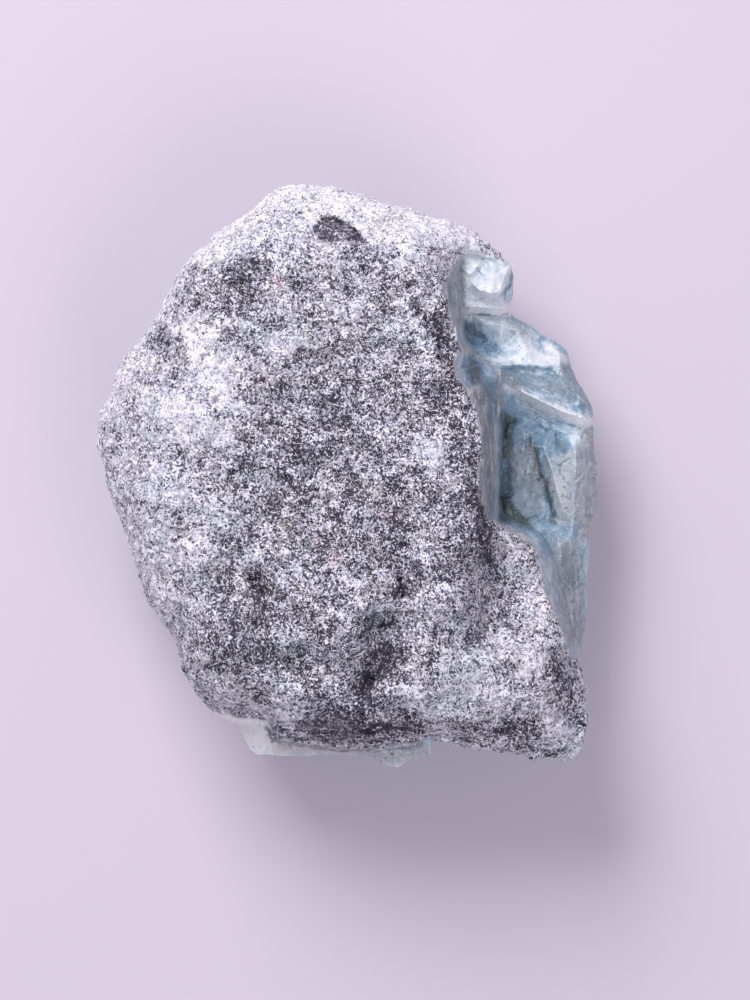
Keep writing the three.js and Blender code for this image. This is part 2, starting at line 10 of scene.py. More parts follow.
import bpy
import numpy as np
from bpy.props import FloatProperty, FloatVectorProperty, IntProperty, PointerProperty
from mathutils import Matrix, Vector


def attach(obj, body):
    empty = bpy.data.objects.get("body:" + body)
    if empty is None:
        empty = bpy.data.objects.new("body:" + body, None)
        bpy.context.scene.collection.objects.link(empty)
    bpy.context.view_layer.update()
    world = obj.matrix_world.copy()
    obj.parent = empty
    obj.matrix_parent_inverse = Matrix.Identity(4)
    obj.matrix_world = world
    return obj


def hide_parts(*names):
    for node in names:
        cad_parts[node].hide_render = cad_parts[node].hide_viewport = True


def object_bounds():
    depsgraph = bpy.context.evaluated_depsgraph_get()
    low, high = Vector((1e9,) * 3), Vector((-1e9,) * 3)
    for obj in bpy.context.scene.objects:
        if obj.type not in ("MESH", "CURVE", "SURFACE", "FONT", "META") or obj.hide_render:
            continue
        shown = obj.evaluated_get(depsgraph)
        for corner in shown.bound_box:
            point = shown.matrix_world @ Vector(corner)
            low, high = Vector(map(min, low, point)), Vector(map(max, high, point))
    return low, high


bl_info = {
    "name": "Semi-polished Larimar",
    "version": (1, 0, 0),
    "blender": (4, 5, 0),
    "location": "3D View > Sidebar > Larimar",
    "description": "Builds a rough larimar with a broken blue edge and a polished underside",
    "category": "Add Mesh",
}

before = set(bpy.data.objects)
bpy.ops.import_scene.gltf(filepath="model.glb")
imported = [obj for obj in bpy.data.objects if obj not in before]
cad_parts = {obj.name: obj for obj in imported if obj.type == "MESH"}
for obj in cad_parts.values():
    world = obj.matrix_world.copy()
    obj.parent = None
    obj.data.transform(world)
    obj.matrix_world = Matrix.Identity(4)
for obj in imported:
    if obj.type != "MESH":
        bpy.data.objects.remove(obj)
CAD_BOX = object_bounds()

STONE_NODE = "larimar_stone"
STONE_PIECE = "rough_larimar"
MM = 0.001  # one millimetre, in metres

# The photo's frame, and how much of the table it takes in at the stone's middle height.
FRAME_WIDTH = 750
FRAME_HEIGHT = 1000
FRAME_TALL = 0.102
STONE_MIDDLE_PIXEL = (350, 476.5)
SENSOR = 36.0  # millimetres

# The driving sizes of the solid that the finish needs, in millimetres.
DOME_RADIUS = 125.0
SPOT_ACROSS = 25.0
SPOT_ALONG = 22.0
SPOT_X = 0.5
SPOT_Y = -1.0
POLISHED_EDGE = 2.2  # how high the polish reaches over the dome at the stone's edge
SEAM_HEIGHT = 9.0  # where the crust gives way to the mineral on the stone's sides
SLOPE_TURN = -0.4  # how the fibres of the slope between the ridges are turned from the x axis
CREASE_ANGLE = math.radians(28)  # edges that turn more than this stay sharp
FLAT_MAP = "OFBake"
FLAT_MAP_WIDTH = 116.0  # millimetres of the flat map that fill a picture from side to side
FLAT_TOP = (28, 32)  # where the stone's middle lies on the flat map, seen from above
FLAT_UNDER = (54, 0)  # how far the polished face is moved from there
FLAT_SIDE_RADIUS = 27  # the sides unroll as if they were this round
FLAT_SIDES = (86, 64)  # where the foot of the side towards +X lies
FLAT_BACK_SIDES = (-86, 25)  # how far the half of it at the stone's peak is moved
OUTLINE_SECTORS = 180  # directions in which the outline's reach is found, to tell the sides from the recess
NEEDLE_SEED = 7
NEEDLE_TILT = 0.12  # how much of a needle's random lean away from the surface is kept

# Where the crust ends above the blue mineral, and above the pale ledge, seen from above.
CRUST_EDGE = (
    (15.6, 21.7), (13.4, 22.7), (12.0, 23.0), (11.2, 22.2), (10.5, 21.3), (9.8, 20.3), (9.4, 19.2),
    (9.5, 18.2), (9.9, 16.2), (10.6, 14.6), (10.9, 13.0), (10.5, 11.2), (10.8, 9.7), (11.8, 8.2),
    (12.6, 6.4), (13.1, 4.4), (13.1, 2.0), (12.9, -0.8), (13.3, -2.8), (14.1, -4.3), (15.3, -5.2),
    (17.2, -6.0), (18.6, -7.3), (19.1, -9.4), (19.7, -11.8), (20.5, -13.8), (21.4, -15.6), (22.1, -17.4),
    (22.4, -18.6),
)
LEDGE_EDGE = (
    (-12.9, -24.1), (-11.1, -24.5), (-9.4, -24.5), (-8.2, -25.3), (-7.6, -26.6), (-5.0, -27.1),
    (-1.0, -27.6), (1.6, -27.6), (4.2, -27.6), (6.2, -27.4), (7.4, -26.9),
)
BLUE_AREA = (*CRUST_EDGE, (40, -18.8), (40, 21.7))
LEDGE_AREA = (*LEDGE_EDGE, (8.35, -26.4), (8.35, -40), (-14.2, -40), (-14.2, -24.1))

# The edge of a small shell-shaped chip in the crust.
CHIP = (
    (-2.6, 26.1), (-3.6, 24.8), (-3.2, 24.3), (-1.8, 23.6), (-0.4, 23.9), (0.6, 24.0), (1.7, 23.3),
    (0.7, 24.6), (-0.3, 25.6), (-1.7, 26.2), (-2.6, 26.1),
)

# The broken faces of the mineral, from the top down, each as a line that ends where it starts.
BLOCK_WALL = ((9.3, 21.1), (11.5, 21.7), (11.7, 17.3), (10.9, 12.9), (9.5, 16.9), (9.3, 21.1))
BLOCK = ((11.8, 22.8), (14.4, 22.8), (16.5, 21.4), (16.3, 17.3), (11.9, 17.4), (11.8, 22.8))
BLOCK_TOP = (
    (11.6, 22.8), (14.4, 22.6), (16.2, 21.4), (15.5, 19.7), (15.2, 18.4), (13.5, 18.6), (11.7, 20.6),
    (11.6, 22.8),
)
SHELF = ((11.7, 17.3), (14.6, 17.6), (16.3, 17.1), (16.2, 16.4), (14.8, 16.3), (11.7, 16.4), (11.7, 17.3))
UPPER_FACE = (
    (12.4, 15.9), (15.6, 15.9), (19.4, 13.6), (21.6, 11.8), (17.5, 12.6), (14.0, 13.8), (12.4, 15.9),
)
POCKET = ((11.9, 15.8), (12.7, 15.1), (14.0, 13.8), (15.3, 12.9), (12.8, 12.9), (12.1, 13.8), (11.9, 15.8))
OUTER_FACET = ((21.7, 12.4), (23.0, 10.2), (24.8, 7.1), (24.9, 6.5), (23.9, 6.7), (21.7, 10.7), (21.7, 12.4))
RECESS = (
    (16.4, 8.5), (18.8, 7.1), (22.8, 5.4), (22.6, 2.3), (20.4, 2.7), (18.4, 4.5), (16.2, 4.9), (16.4, 8.5),
)
RECESS_FLOOR = ((16.6, 2.3), (18.4, 2.9), (19.5, 0.0), (19.3, -3.3), (17.5, -2.6), (16.6, 2.3))
PALE_SWELL = ((20.4, 1.6), (23.5, 2.7), (24.3, -0.4), (23.9, -4.8), (21.3, -4.6), (20.4, 1.6))
# The line on the pale ledge that the crust overhangs, along which a dark band is painted as the overhang's
# shadow.
OVERHANG_SHADOW_LINE = ((-8.5, -25.5), (-7.9, -26.9), (-5, -27.4), (-1, -27.9), (4.2, -27.9), (7.2, -27.3))

# Marks on the stone: a line across it in millimetres, how far it reaches, and the value it brings.
# A line that ends where it starts marks the whole area inside it. A value past the ends of its range
# keeps the place at that end, whatever the grain of the stone adds or takes away.
# White needles and dust on the crust, from 0, bare dark rock, to 1, all white. The low values along the gully
# and on the scarp are painted shade.
DUST_AND_SHADE_MARKS = (
    (((-22, 12), (-22, -4), (-18, -8)), 6.0, 0.76),
    (((-5, 20), (6, 17)), 5.0, 0.57),
    (((8.5, 6), (9.5, -4)), 3.0, 0.38),
    (((-4, 2), (3, -3)), 4.5, 0.36),
    (((-12, -16), (-4, -14)), 4.0, 0.38),
    (((8.8, 15), (11.6, 8), (12.2, 1), (11.4, -6)), 1.2, 0.24),
    (((-14, 24.3), (-9, 27.6), (-5.9, 28.9), (1, 27.4), (7, 26.0), (11.5, 24.2)), 2.2, 1.32),
    (((-8.5, 24.6), (-4.5, 26.4)), 1.8, 1.0),
    (((3.5, 24.0), (9.5, 22.6)), 1.7, 0.95),
    (((9.6, 21.2), (11.4, 22.9)), 0.8, 0.85),
    (((-14.3, 23.4), (-17.3, 20.5), (-20.4, 15.3), (-23.4, 11), (-25.2, 6)), 1.1, 1.05),
    (((-18.5, 7.5), (-16.5, 6.0), (-13.5, 4.5)), 2.0, 1.15),
    (((-15.2, 14.5), (-13.6, 11), (-12.6, 8.5)), 2.0, 1.25),
    (((-19.6, 14.4), (-17.4, 12.0)), 1.4, 0.42),
    (((-17.2, 7.0), (-16.5, 5.6)), 0.9, 1.25),
    (((-9.5, 13.0), (-4.5, 13.8)), 1.6, 0.74),
    (((-7.3, 13.2), (-5.4, 13.3)), 0.7, 1.1),
    (((-22, -1.6), (-14, -2.2)), 1.0, 0.74),
    (((-22, -7), (-17.2, -7.9)), 0.16, 1.0),
    (((-20.4, -9.3), (-17, -5.8)), 0.16, 1.0),
    (((-20.4, -11.5), (-17.4, -16.5), (-13.4, -22.4)), 1.0, 0.68),
    (((-10, -24.2), (-5.5, -23.4)), 1.0, 0.75),
    (((8.2, 2.6), (9.4, 0.2)), 1.1, 0.80),
    (((1.6, -0.4), (2.2, -1.4)), 0.8, 0.62),
    (((10, -14.6), (12.8, -15.4)), 0.9, 0.66),
    (((9.0, -21.0), (17.0, -22.6)), 2.2, 0.78),
    (((15.5, -17), (17.6, -18.5)), 1.6, 0.94),
    (((16.4, -7.8), (18.2, -11.0), (19.4, -15.0)), 1.4, 0.85),
    (((20.2, -25.0), (22.8, -27.6)), 1.3, 0.95),
    (((20.8, -19.8), (22.6, -23.4)), 1.1, 0.28),
    (((6.8, -21), (8.5, -25)), 1.5, 0.72),
    # Fewer needles along the gully, which darkens it as painted shade of its scarp.
    (((-15, 20.6), (-12, 19.6), (-9.5, 17.6), (-8.0, 15.5)), 1.3, 0.35),
    (((-9.5, 21.8), (-8, 23.2)), 0.8, 0.25),
    (((0.3, 20.8), (0.8, 20.2)), 0.9, 0.34),
    # Bare rock on the scarp that faces +X, dark as painted shade.
    (((13.4, -2.8), (13.8, -8.6)), 0.7, -0.02),
    (((-9.6, -5.8), (-8.6, -8.2)), 0.9, 0.1),
    (((7.0, -8.4), (9.0, -9.6)), 1.2, 0.28),
    (((-12.6, -10.6), (-12.2, -13.6)), 1.0, 0.22),
    (((-8.6, -10.2), (-8.8, -14.6)), 1.0, 0.20),
    (((-10.5, -15.5), (-8, -18.5)), 1.2, 0.28),
    (((5, -10.8), (5.2, -12)), 0.6, 0.2),
    (((4.0, -17.2), (2.6, -20.5), (0.8, -24.5)), 1.7, 0.13),
    (((12, -16.8), (12.4, -16.2)), 0.8, 0.2),
    (((15.5, -25.4), (18.8, -25.6)), 0.8, 0.18),
    (((-6.5, -25.8), (1, -26.0), (7.4, -25.6)), 1.0, 0.10),
    (((-9, -23.6), (-4.5, -26.3)), 0.5, 0.7),
    (((0.2, -25.8), (2.6, -25.7)), 0.25, -0.2),
)
# The same for the chip, whose edges are clean. The dark band just under its upper rim is painted shade.
CHIP_DUST_AND_SHADE_MARKS = (
    (((-3.4, 26.4), (-1.7, 26.6), (0.0, 25.9), (1.1, 24.9), (2.1, 23.6)), 0.4, 1.2),
    (CHIP, 0.12, 0.3),
    # A dark band just under the chip's upper rim: painted shade.
    (((-2.8, 26.0), (-1.5, 26.1), (-0.3, 25.5), (0.8, 24.5), (1.7, 23.4)), 0.13, -0.2),
)
# The mineral's colour, from 0, white, to 1, deep teal. At the recess's foot and along the overhang the deep
# values are partly painted shadow.
BLUE_MARKS = (
    (CRUST_EDGE, 0.5, 0.22),
    (((9.6, 20.5), (10.6, 22.4), (12.5, 22.9), (15.2, 21.9)), 0.8, 0.18),
    (BLOCK_WALL, 0.3, 0.36),
    (((10.0, 18.8), (10.5, 17.4)), 0.45, 0.66),
    (BLOCK, 0.2, 0.16),
    (BLOCK_TOP, 0.15, 0.05),
    (((14.0, 21.4), (15.1, 20.6)), 0.6, 0.26),
    (((13.6, 20.4), (12.9, 21.1)), 0.12, 0.5),
    (((16.6, 20.9), (16.2, 19.5), (15.5, 18.4)), 0.22, 0.66),
    (SHELF, 0.15, -0.2),
    (((12.0, 16.5), (14.8, 16.5)), 0.13, 0.75),
    (UPPER_FACE, 0.3, 0.24),
    (((13.6, 15.6), (15.4, 14.6)), 0.6, 0.26),
    (((18.6, 14.0), (19.4, 13.4)), 0.5, 0.40),
    (POCKET, 0.22, 0.58),
    (((11.9, 15.6), (12.0, 14.9)), 0.25, 1.0),
    (((14.6, 11.8), (18.4, 12.8), (21.5, 12.0), (21.7, 10.9), (17.5, 11.5), (14.6, 11.8)), 0.2, 0.10),
    (OUTER_FACET, 0.2, 0.52),
    (((17.0, 10.3), (22.5, 8.4)), 1.1, 0.46),
    (((15.3, 11.0), (20.4, 10.9)), 0.25, 0.70),
    (RECESS, 0.25, 0.35),
    (((16.6, 7.2), (17.0, 5.6)), 0.6, 0.62),
    (((20.6, 4.0), (21.6, 3.0)), 1.0, 0.82),
    (RECESS_FLOOR, 0.3, 0.50),
    # The recess's foot: deep teal, deepened as painted shadow of the terrace wall.
    (((15.5, 6.3), (16.5, 5.6), (16.1, 2.9), (16.2, -4.4), (15.4, -4.4), (15.5, 6.3)), 0.45, 1.1),
    (((17.9, -1.6), (18.3, -3.4)), 0.6, 0.42),
    (((15.7, 1.6), (15.9, -1.5)), 0.5, 0.78),
    (((16.0, -3.6), (18.2, -4.9)), 0.6, 0.78),
    (((18.8, -3.9), (20.2, -4.7)), 0.7, 0.70),
    (((17.2, 4.2), (17.8, 3.4)), 0.45, 0.62),
    (((19.2, 4.9), (19.5, 3.3)), 0.55, 0.66),
    (((20.3, 2.8), (20.5, 1.4)), 0.4, 0.75),
    (((23.2, 5.0), (23.3, 2.0)), 0.7, 0.18),
    (((18.4, 3.8), (19.3, 0.9), (20.4, -2.4), (20.9, -4.6)), 0.36, 1.08),
    (PALE_SWELL, 0.25, 0.30),
    (((24.7, 4.5), (25.3, 0.5), (24.5, -4.0), (24.3, -8)), 0.45, 0.28),
    (((14.0, 9.0), (14.1, -3.5)), 1.0, 0.78),
    (((14.5, 8.8), (14.5, 6.4)), 0.7, 0.84),
    (((12.4, 11.2), (12.6, 9.9)), 0.8, 1.1),
    (((14.9, 5.0), (15.0, -3.6)), 0.3, 0.34),
    (((13.9, -0.7), (14.2, -1.7)), 0.5, 0.7),
    (((21.2, -6.5), (23.2, -17)), 1.6, 0.46),
    (((19.9, -5.8), (20.6, -7.4)), 0.6, 0.66),
    (((16.6, 8.5), (18.4, 7.6), (20.8, 6.5), (24.4, 5.3)), 0.34, 0.05),
    (((15.9, 9.1), (18.4, 8.0), (21.0, 6.9), (24.7, 5.6)), 0.28, -0.1),
    (((20.0, 13.6), (22.0, 11.9)), 0.35, -0.1),
    (((-14.5, -23.6), (-10.5, -25.2), (-9.4, -27.6)), 2.4, -0.8),
    (((-7, -27.6), (1.5, -28.2)), 0.8, 0.12),
    (((2.6, -28.4), (7.5, -28.2)), 1.1, 0.22),
    # A dark band under the crust's overhang: painted shadow.
    (OVERHANG_SHADOW_LINE, 0.2, 0.9),
)
# Brown-grey staining of the mineral, from 0 to 1. Along the overhang it is painted shadow.
WARM_MARKS = (
    (CRUST_EDGE, 0.5, 0.75),
    (BLOCK_WALL, 0.4, 0.75),
    (((16.8, 10.2), (22.5, 8.6)), 1.0, 0.32),
    (((12.4, 15.8), (11.5, 12.8)), 0.6, 0.5),
    (((13.0, 8.4), (13.9, 4), (13.8, -2.5)), 1.0, 0.92),
    (((14.9, 5.0), (15.0, -3.6)), 0.35, 0.7),
    (((14.4, 8.6), (14.4, 6.6)), 0.7, 0.10),
    (((12.3, 11.2), (12.6, 9.9)), 0.6, 0.10),
    (((15.0, 10.4), (15.2, 8.6), (15.3, 6.8)), 0.35, 0.95),
    (BLOCK, 0.25, 0.05),
    (((11.6, 13.0), (13.2, 12.2), (14.8, 11.0)), 0.3, 0.9),
    (((15.6, 10.1), (17.6, 9.0)), 0.4, 0.7),
    (RECESS_FLOOR, 0.4, 0.64),
    (((17.6, -1.6), (18.3, -3.2)), 0.7, 0.3),
    (((20.4, 1.0), (20.8, -0.8)), 0.6, 0.6),
    (((16.2, -3.9), (18.0, -4.6)), 0.6, 0.40),
    (PALE_SWELL, 0.4, 0.56),
    (((24.7, 4.5), (25.2, 0.3), (24.2, -6)), 0.7, 0.85),
    (((22.2, 11.2), (24.3, 7.6)), 0.8, 0.40),
    (((22, -8), (23, -16)), 1.8, 0.82),
    (((16.9, 14.8), (17.9, 14.6)), 0.5, 0.8),
    (((-13, -24.5), (-9.5, -27)), 2.0, 0.0),
    (((-7, -27.6), (2, -28)), 0.9, 0.62),
    (((3, -28.6), (7.5, -28.2)), 1.2, 0.72),
    # The brown-grey band under the crust's overhang: painted shadow.
    (OVERHANG_SHADOW_LINE, 0.2, 0.9),
)
# Layered rock without needles, from 0 to 1.
LAYERED_MARKS = (
    (((-5.0, -25.3), (0.6, -25.5)), 0.65, 0.95),
    (((-2.6, -24.0), (0.0, -24.4)), 0.4, 0.6),
    (((-7.5, -26.5), (4, -26.9)), 0.3, 0.7),
    (((13.5, -3.0), (13.8, -8.0)), 0.5, 0.25),
    (CHIP, 0.1, 0.65),
)
# Small pits of the crust: a line, how far it reaches, and how deep it is, in millimetres.
PITS = (
    (CHIP, 0.12, 0.35),
    (((6.0, 19.0), (6.4, 19.3)), 0.25, 0.6),
    (((6.8, 17.6), (7.0, 16.4)), 0.22, 0.8),
    (((8.1, 19.9), (8.6, 19.0)), 0.25, 0.6),
    (((-2.4, 21.9), (-2.2, 21.7)), 0.25, 0.5),
    (((9.1, 13.0), (9.3, 11.8)), 0.25, 0.5),
    (((5.1, -10.3), (5.3, -12)), 0.2, 0.5),
    (((-8.3, -8.3), (-7.9, -8.8)), 0.22, 0.5),
    (((9.8, -5.0), (9.9, -6.4)), 0.22, 0.5),
    (((-9.6, -11.5), (-9.1, -13.2), (-9.5, -15.4)), 0.3, 0.25),
    (((1.0, -23.9), (1.2, -24.1)), 0.3, 0.7),
    (((0.4, -25.8), (2.4, -25.7)), 0.2, 0.6),
    (((-5.5, -24.7), (-1.5, -24.9), (0.9, -24.6)), 0.15, 0.35),
    (((-9.0, -26.6), (-4.0, -26.9), (3.0, -26.9)), 0.15, 0.4),
)
# Stains of the stone, from -1, red-brown, to 1, olive green.
TINT_MARKS = (
    (((-8.6, 9.5), (-7.8, 8.6)), 0.8, -0.5),
    (((0.8, 13.2), (1.3, 12.8)), 0.6, -0.5),
    (((-2.4, 12.6), (-1.8, 11.8)), 0.6, -0.6),
    (((-7.1, 19.9), (-7.0, 19.0)), 0.35, -0.9),
    (((-3.2, -6.8), (-1.6, -8.4)), 0.9, -0.5),
    (((-13.5, -19.5), (-11.0, -19.2)), 0.9, -0.3),
    (((3.4, -3.6), (5.0, -4.4)), 0.7, -0.4),
    (((-3.8, 15.2), (-4.4, 14.2)), 1.0, 0.5),
    (((1.4, -0.4), (2.4, -1.6)), 0.8, 0.5),
    (((-6.5, -4.7), (-6.4, -5.1)), 0.4, 1.0),
    (((3.8, 25.6), (4.6, 25.4)), 0.8, 0.5),
    (((-6.4, -18.2), (-5.4, -18.9)), 0.9, 0.5),
    (((15.6, -2.6), (17.6, -4.4)), 0.7, 0.8),
    (((-12.5, -24.6), (-9.4, -26.5), (-6, -27.8), (1, -28)), 1.3, -0.3),
)


def paint(red, green, blue):
    """A colour from its three display values, 0 to 255, as the linear numbers that shaders use."""
    return tuple(
        value / 12.92 if value <= 0.04045 else ((value + 0.055) / 1.055) ** 2.4
        for value in (red / 255, green / 255, blue / 255)
    )


# Unevenness

def lattice_value(i, j, k, seed):
    """A repeatable number from 0 to 1 for each corner of a lattice."""
    mixed = (i * 374761393 + j * 668265263 + k * 1440662683 + seed * 1274126177) & 0xFFFFFFFF
    mixed = ((mixed ^ (mixed >> 13)) * 1103515245) & 0xFFFFFFFF
    mixed = ((mixed ^ (mixed >> 15)) * 1540483477) & 0xFFFFFFFF
    return ((mixed ^ (mixed >> 16)) & 0xFFFFFF) / 0xFFFFFF


def noise(points, size, seed):
    """Smooth noise, from about -1 to 1, whose bumps have the given size."""
    place = points / size
    corner = np.floor(place).astype(np.int64)
    inside = place - corner
    fade = inside**3 * (inside * (inside * 6 - 15) + 10)
    total = np.zeros(len(points))
    for offset in itertools.product((0, 1), repeat=3):
        at = corner + offset
        gradient = [2 * lattice_value(*at.T, 3 * seed + axis) - 1 for axis in range(3)]
        weight = np.prod(np.where(offset, fade, 1 - fade), axis=1)
        total += weight * np.sum(np.stack(gradient, axis=1) * (inside - offset), axis=1)
    return 1.6 * total


def cells(points, size, seed):
    """Splits space into irregular cells: the vector from each point's cell centre, and the cell's key."""
    place = points / size
    home = np.floor(place).astype(np.int64)
    nearest = np.full(len(points), np.inf)
    away = np.zeros((len(points), 3))
    key = np.zeros((len(points), 3), np.int64)
    for offset in itertools.product((-1, 0, 1), repeat=3):
        cell = home + offset
        centre = cell + np.stack([lattice_value(*cell.T, 3 * seed + axis) for axis in range(3)], axis=1)
        distance = np.sum((place - centre) ** 2, axis=1)
        closer = distance < nearest
        nearest[closer] = distance[closer]
        away[closer] = (place - centre)[closer]
        key[closer] = cell[closer]
    return away * size, key


def broken_faces(points, size, seed):
    """A patchwork of small flat faces with cliffs between them, from about -1 to 1 times the size."""
    away, key = cells(points, size, seed)
    tilt = np.stack([2 * lattice_value(*key.T, 40 + axis) - 1 for axis in range(3)], axis=1)
    step = 2 * lattice_value(*key.T, 47) - 1
    return np.sum(away * tilt, axis=1) + 0.3 * size * step


# Lines and areas on the stone's plan

def smoothstep(low, high, value):
    """0 below low, 1 above high, and smooth between."""
    share = np.clip((value - low) / (high - low), 0, 1)
    return share * share * (3 - 2 * share)


def line_distance(points, line):
    """How far each point lies from a line on the plan."""
    best = np.full(len(points), np.inf)
    for start, end in zip(line, line[1:]):
        start = np.array(start)
        run = np.array(end) - start
        share = np.clip((points[:, :2] - start) @ run / (run @ run), 0, 1)
        best = np.minimum(best, np.linalg.norm(points[:, :2] - start - share[:, None] * run, axis=1))
    return best


def is_inside(points, area):
    """Which points lie inside a closed line on the plan."""
    inside = np.zeros(len(points), bool)
    x, y = points[:, 0], points[:, 1]
    for (ax, ay), (bx, by) in zip(area, area[1:] + area[:1]):
        if ay == by:
            continue
        crosses = (ay > y) != (by > y)
        inside ^= crosses & (x < ax + (bx - ax) * (y - ay) / (by - ay))
    return inside


def nearness(points, line, reach):
    """1 on a line, or inside one that ends where it starts, fading to 0 a little past its reach."""
    distance = line_distance(points, line)
    if line[0] == line[-1]:
        distance[is_inside(points, line)] = 0
    return np.exp(-((distance / reach) ** 2))


def painted(points, base, marks):
    """A value over the stone, with each mark laid over the ones before it."""
    value = np.zeros(len(points)) + base
    for line, reach, target in marks:
        value += (target - value) * nearness(points, line, reach)
    return value


def ragged(points, shift):
    """The points, shaken sideways by about the given shift, so that marks laid on them get ragged edges."""
    shake = [
        noise(points, 5 * shift, 60 + axis) + 0.6 * noise(points, 1.8 * shift, 63 + axis) for axis in range(3)
    ]
    return points + 2 * shift * np.stack(shake, axis=1)


# The stone's net

class Net:
    """A net of triangles, in millimetres, that can be refined, smoothed and displaced."""

    def __init__(self, points, faces):
        self.points = points
        self.faces = faces

    def edges(self):
        """The net's edges, and for each face the numbers of its three."""
        pairs = np.sort(np.stack([self.faces, np.roll(self.faces, -1, axis=1)], axis=2), axis=2)
        keys, number = np.unique(pairs[..., 0] * len(self.points) + pairs[..., 1], return_inverse=True)
        return np.stack(np.divmod(keys, len(self.points)), axis=1), number.reshape(-1, 3)

    def refine(self, longest):
        """Splits edges at their middles until hardly any is longer than it may be at its place and tilt."""
        while True:
            edges, number = self.edges()
            ends = self.points[edges]
            middles = ends.mean(axis=1)
            up = self.normals()[edges, 2].mean(axis=1)
            long = np.linalg.norm(ends[:, 0] - ends[:, 1], axis=1) > longest(middles, up)
            if long.mean() < 0.001:
                return
            added = np.full(len(edges), -1)
            added[long] = len(self.points) + np.arange(long.sum())
            self.points = np.vstack([self.points, middles[long]])
            self.faces = self.split(self.faces, added[number])

    def split(self, faces, middle):
        """The faces after points were put in the middle of some edges, -1 where there is none."""
        count = (middle >= 0).sum(axis=1)
        a, b, c = faces[count == 3].T
        ab, bc, ca = middle[count == 3].T
        kept = [faces[count == 0]]
        kept += [np.stack(t, axis=1) for t in ((a, ab, ca), (ab, b, bc), (ca, bc, c), (ab, bc, ca))]
        # One split edge, turned to be a-b
        for turn in range(3):
            chosen = (count == 1) & (middle[:, turn] >= 0)
            a, b, c = np.roll(faces[chosen], -turn, axis=1).T
            ab = middle[chosen, turn]
            kept += [np.stack(t, axis=1) for t in ((a, ab, c), (ab, b, c))]
        # Two split edges, turned so that c-a is the whole one
        for turn in range(3):
            chosen = (count == 2) & (middle[:, (turn + 2) % 3] < 0)
            a, b, c = np.roll(faces[chosen], -turn, axis=1).T
            ab, bc = middle[chosen, turn], middle[chosen, (turn + 1) % 3]
            kept += [np.stack(t, axis=1) for t in ((ab, b, bc), (a, ab, bc), (a, bc, c))]
        return np.vstack(kept)

    def smooth(self, share, times):
        """Moves each point towards the middle of its neighbours, by a share of its own."""
        edges, _ = self.edges()
        first, second = np.vstack([edges, edges[:, ::-1]]).T
        count = np.bincount(first)
        for _ in range(times):
            middle = [np.bincount(first, self.points[second, axis]) / count for axis in range(3)]
            self.points = self.points + share[:, None] * (np.stack(middle, axis=1) - self.points)

    def bulge(self):
        """How sharply the net stands out at each point, from about -1 in a crease to 1 on a ridge."""
        edges, _ = self.edges()
        first, second = np.vstack([edges, edges[:, ::-1]]).T
        count = np.bincount(first)
        away = self.points[first] - self.points[second]
        step = np.bincount(first, np.linalg.norm(away, axis=1)) / count
        out = np.stack([np.bincount(first, away[:, axis]) for axis in range(3)], axis=1) / count[:, None]
        sharp = np.clip(2.5 * np.sum(out * self.normals(), axis=1) / step, -1, 1)
        return 0.7 * sharp + 0.3 * np.bincount(first, sharp[second]) / count

    def normals(self):
        """The net's outward direction at each point."""
        a, b, c = (self.points[self.faces[:, corner]] for corner in range(3))
        across = np.cross(b - a, c - a)
        total = np.stack(
            [
                sum(np.bincount(corner, across[:, axis], len(self.points)) for corner in self.faces.T)
                for axis in range(3)
            ],
            axis=1,
        )
        return total / np.maximum(np.linalg.norm(total, axis=1, keepdims=True), 1e-12)


def dome_height(points):
    """Height of the polished dome under each point."""
    diameters = np.hypot((points[:, 0] - SPOT_X) / SPOT_ACROSS, (points[:, 1] - SPOT_Y) / SPOT_ALONG)
    diameter = (SPOT_ACROSS + SPOT_ALONG) / 2
    return np.maximum(0, (diameter * diameters) ** 2 - (diameter / 2) ** 2) / (2 * DOME_RADIUS)


def polish_of(points):
    """1 on the polished face and its rounded edge, 0 on the rough stone."""
    wander = 0.25 * noise(points, 3.0, 21)
    return smoothstep(POLISHED_EDGE + 0.35, POLISHED_EDGE - 0.05, points[:, 2] - dome_height(points) + wander)


def crust_of(points):
    """1 on the crust, 0 on the mineral."""
    wander = 0.35 * noise(points, 1.1, 22) + 0.18 * noise(points, 0.5, 23)
    out = np.full(len(points), np.inf)
    for area, edge in ((BLUE_AREA, CRUST_EDGE), (LEDGE_AREA, LEDGE_EDGE)):
        side = np.where(is_inside(points, area), -1, 1)
        out = np.minimum(out, side * line_distance(points, edge))
    seam = SEAM_HEIGHT + 1.6 * noise(points, 9.0, 24) + 0.8 * noise(points, 2.2, 25)
    return smoothstep(-0.12, 0.12, out + wander) * smoothstep(-0.2, 0.2, points[:, 2] - seam)


def stone_net():
    """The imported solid's surface, with the corners that its triangles share joined."""
    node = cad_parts[STONE_NODE]
    mesh = node.data
    points = np.zeros(3 * len(mesh.vertices))
    mesh.vertices.foreach_get("co", points)
    faces = np.zeros(3 * len(mesh.polygons), np.int64)
    mesh.polygons.foreach_get("vertices", faces)
    points = np.round(points.reshape(-1, 3) / MM, 4)
    points, joined = np.unique(points, axis=0, return_inverse=True)
    return Net(points, joined.reshape(-1)[faces].reshape(-1, 3))


def rough_stone(settings):
    """The net of the whole stone, refined, with its corners worn a little."""
    fine = settings.fine_step / MM
    net = stone_net()

    def longest(middles, up):
        steep = smoothstep(0.75, 0.35, up)
        polished = smoothstep(POLISHED_EDGE + 1, POLISHED_EDGE - 0.5, middles[:, 2] - dome_height(middles))
        return fine * (1 + settings.side_coarseness * steep + 1.6 * polished)

    net.refine(lambda middles, up: 2.2 * longest(middles, up))
    crust = crust_of(net.points)
    polish = polish_of(net.points)
    net.smooth(0.02 + 0.38 * crust * (1 - polish) + 0.40 * polish, 3)
    net.refine(longest)
    crust = crust_of(net.points)
    polish = polish_of(net.points)
    net.smooth(0.03 + 0.25 * crust * (1 - polish) + 0.40 * polish, 3)
    return net


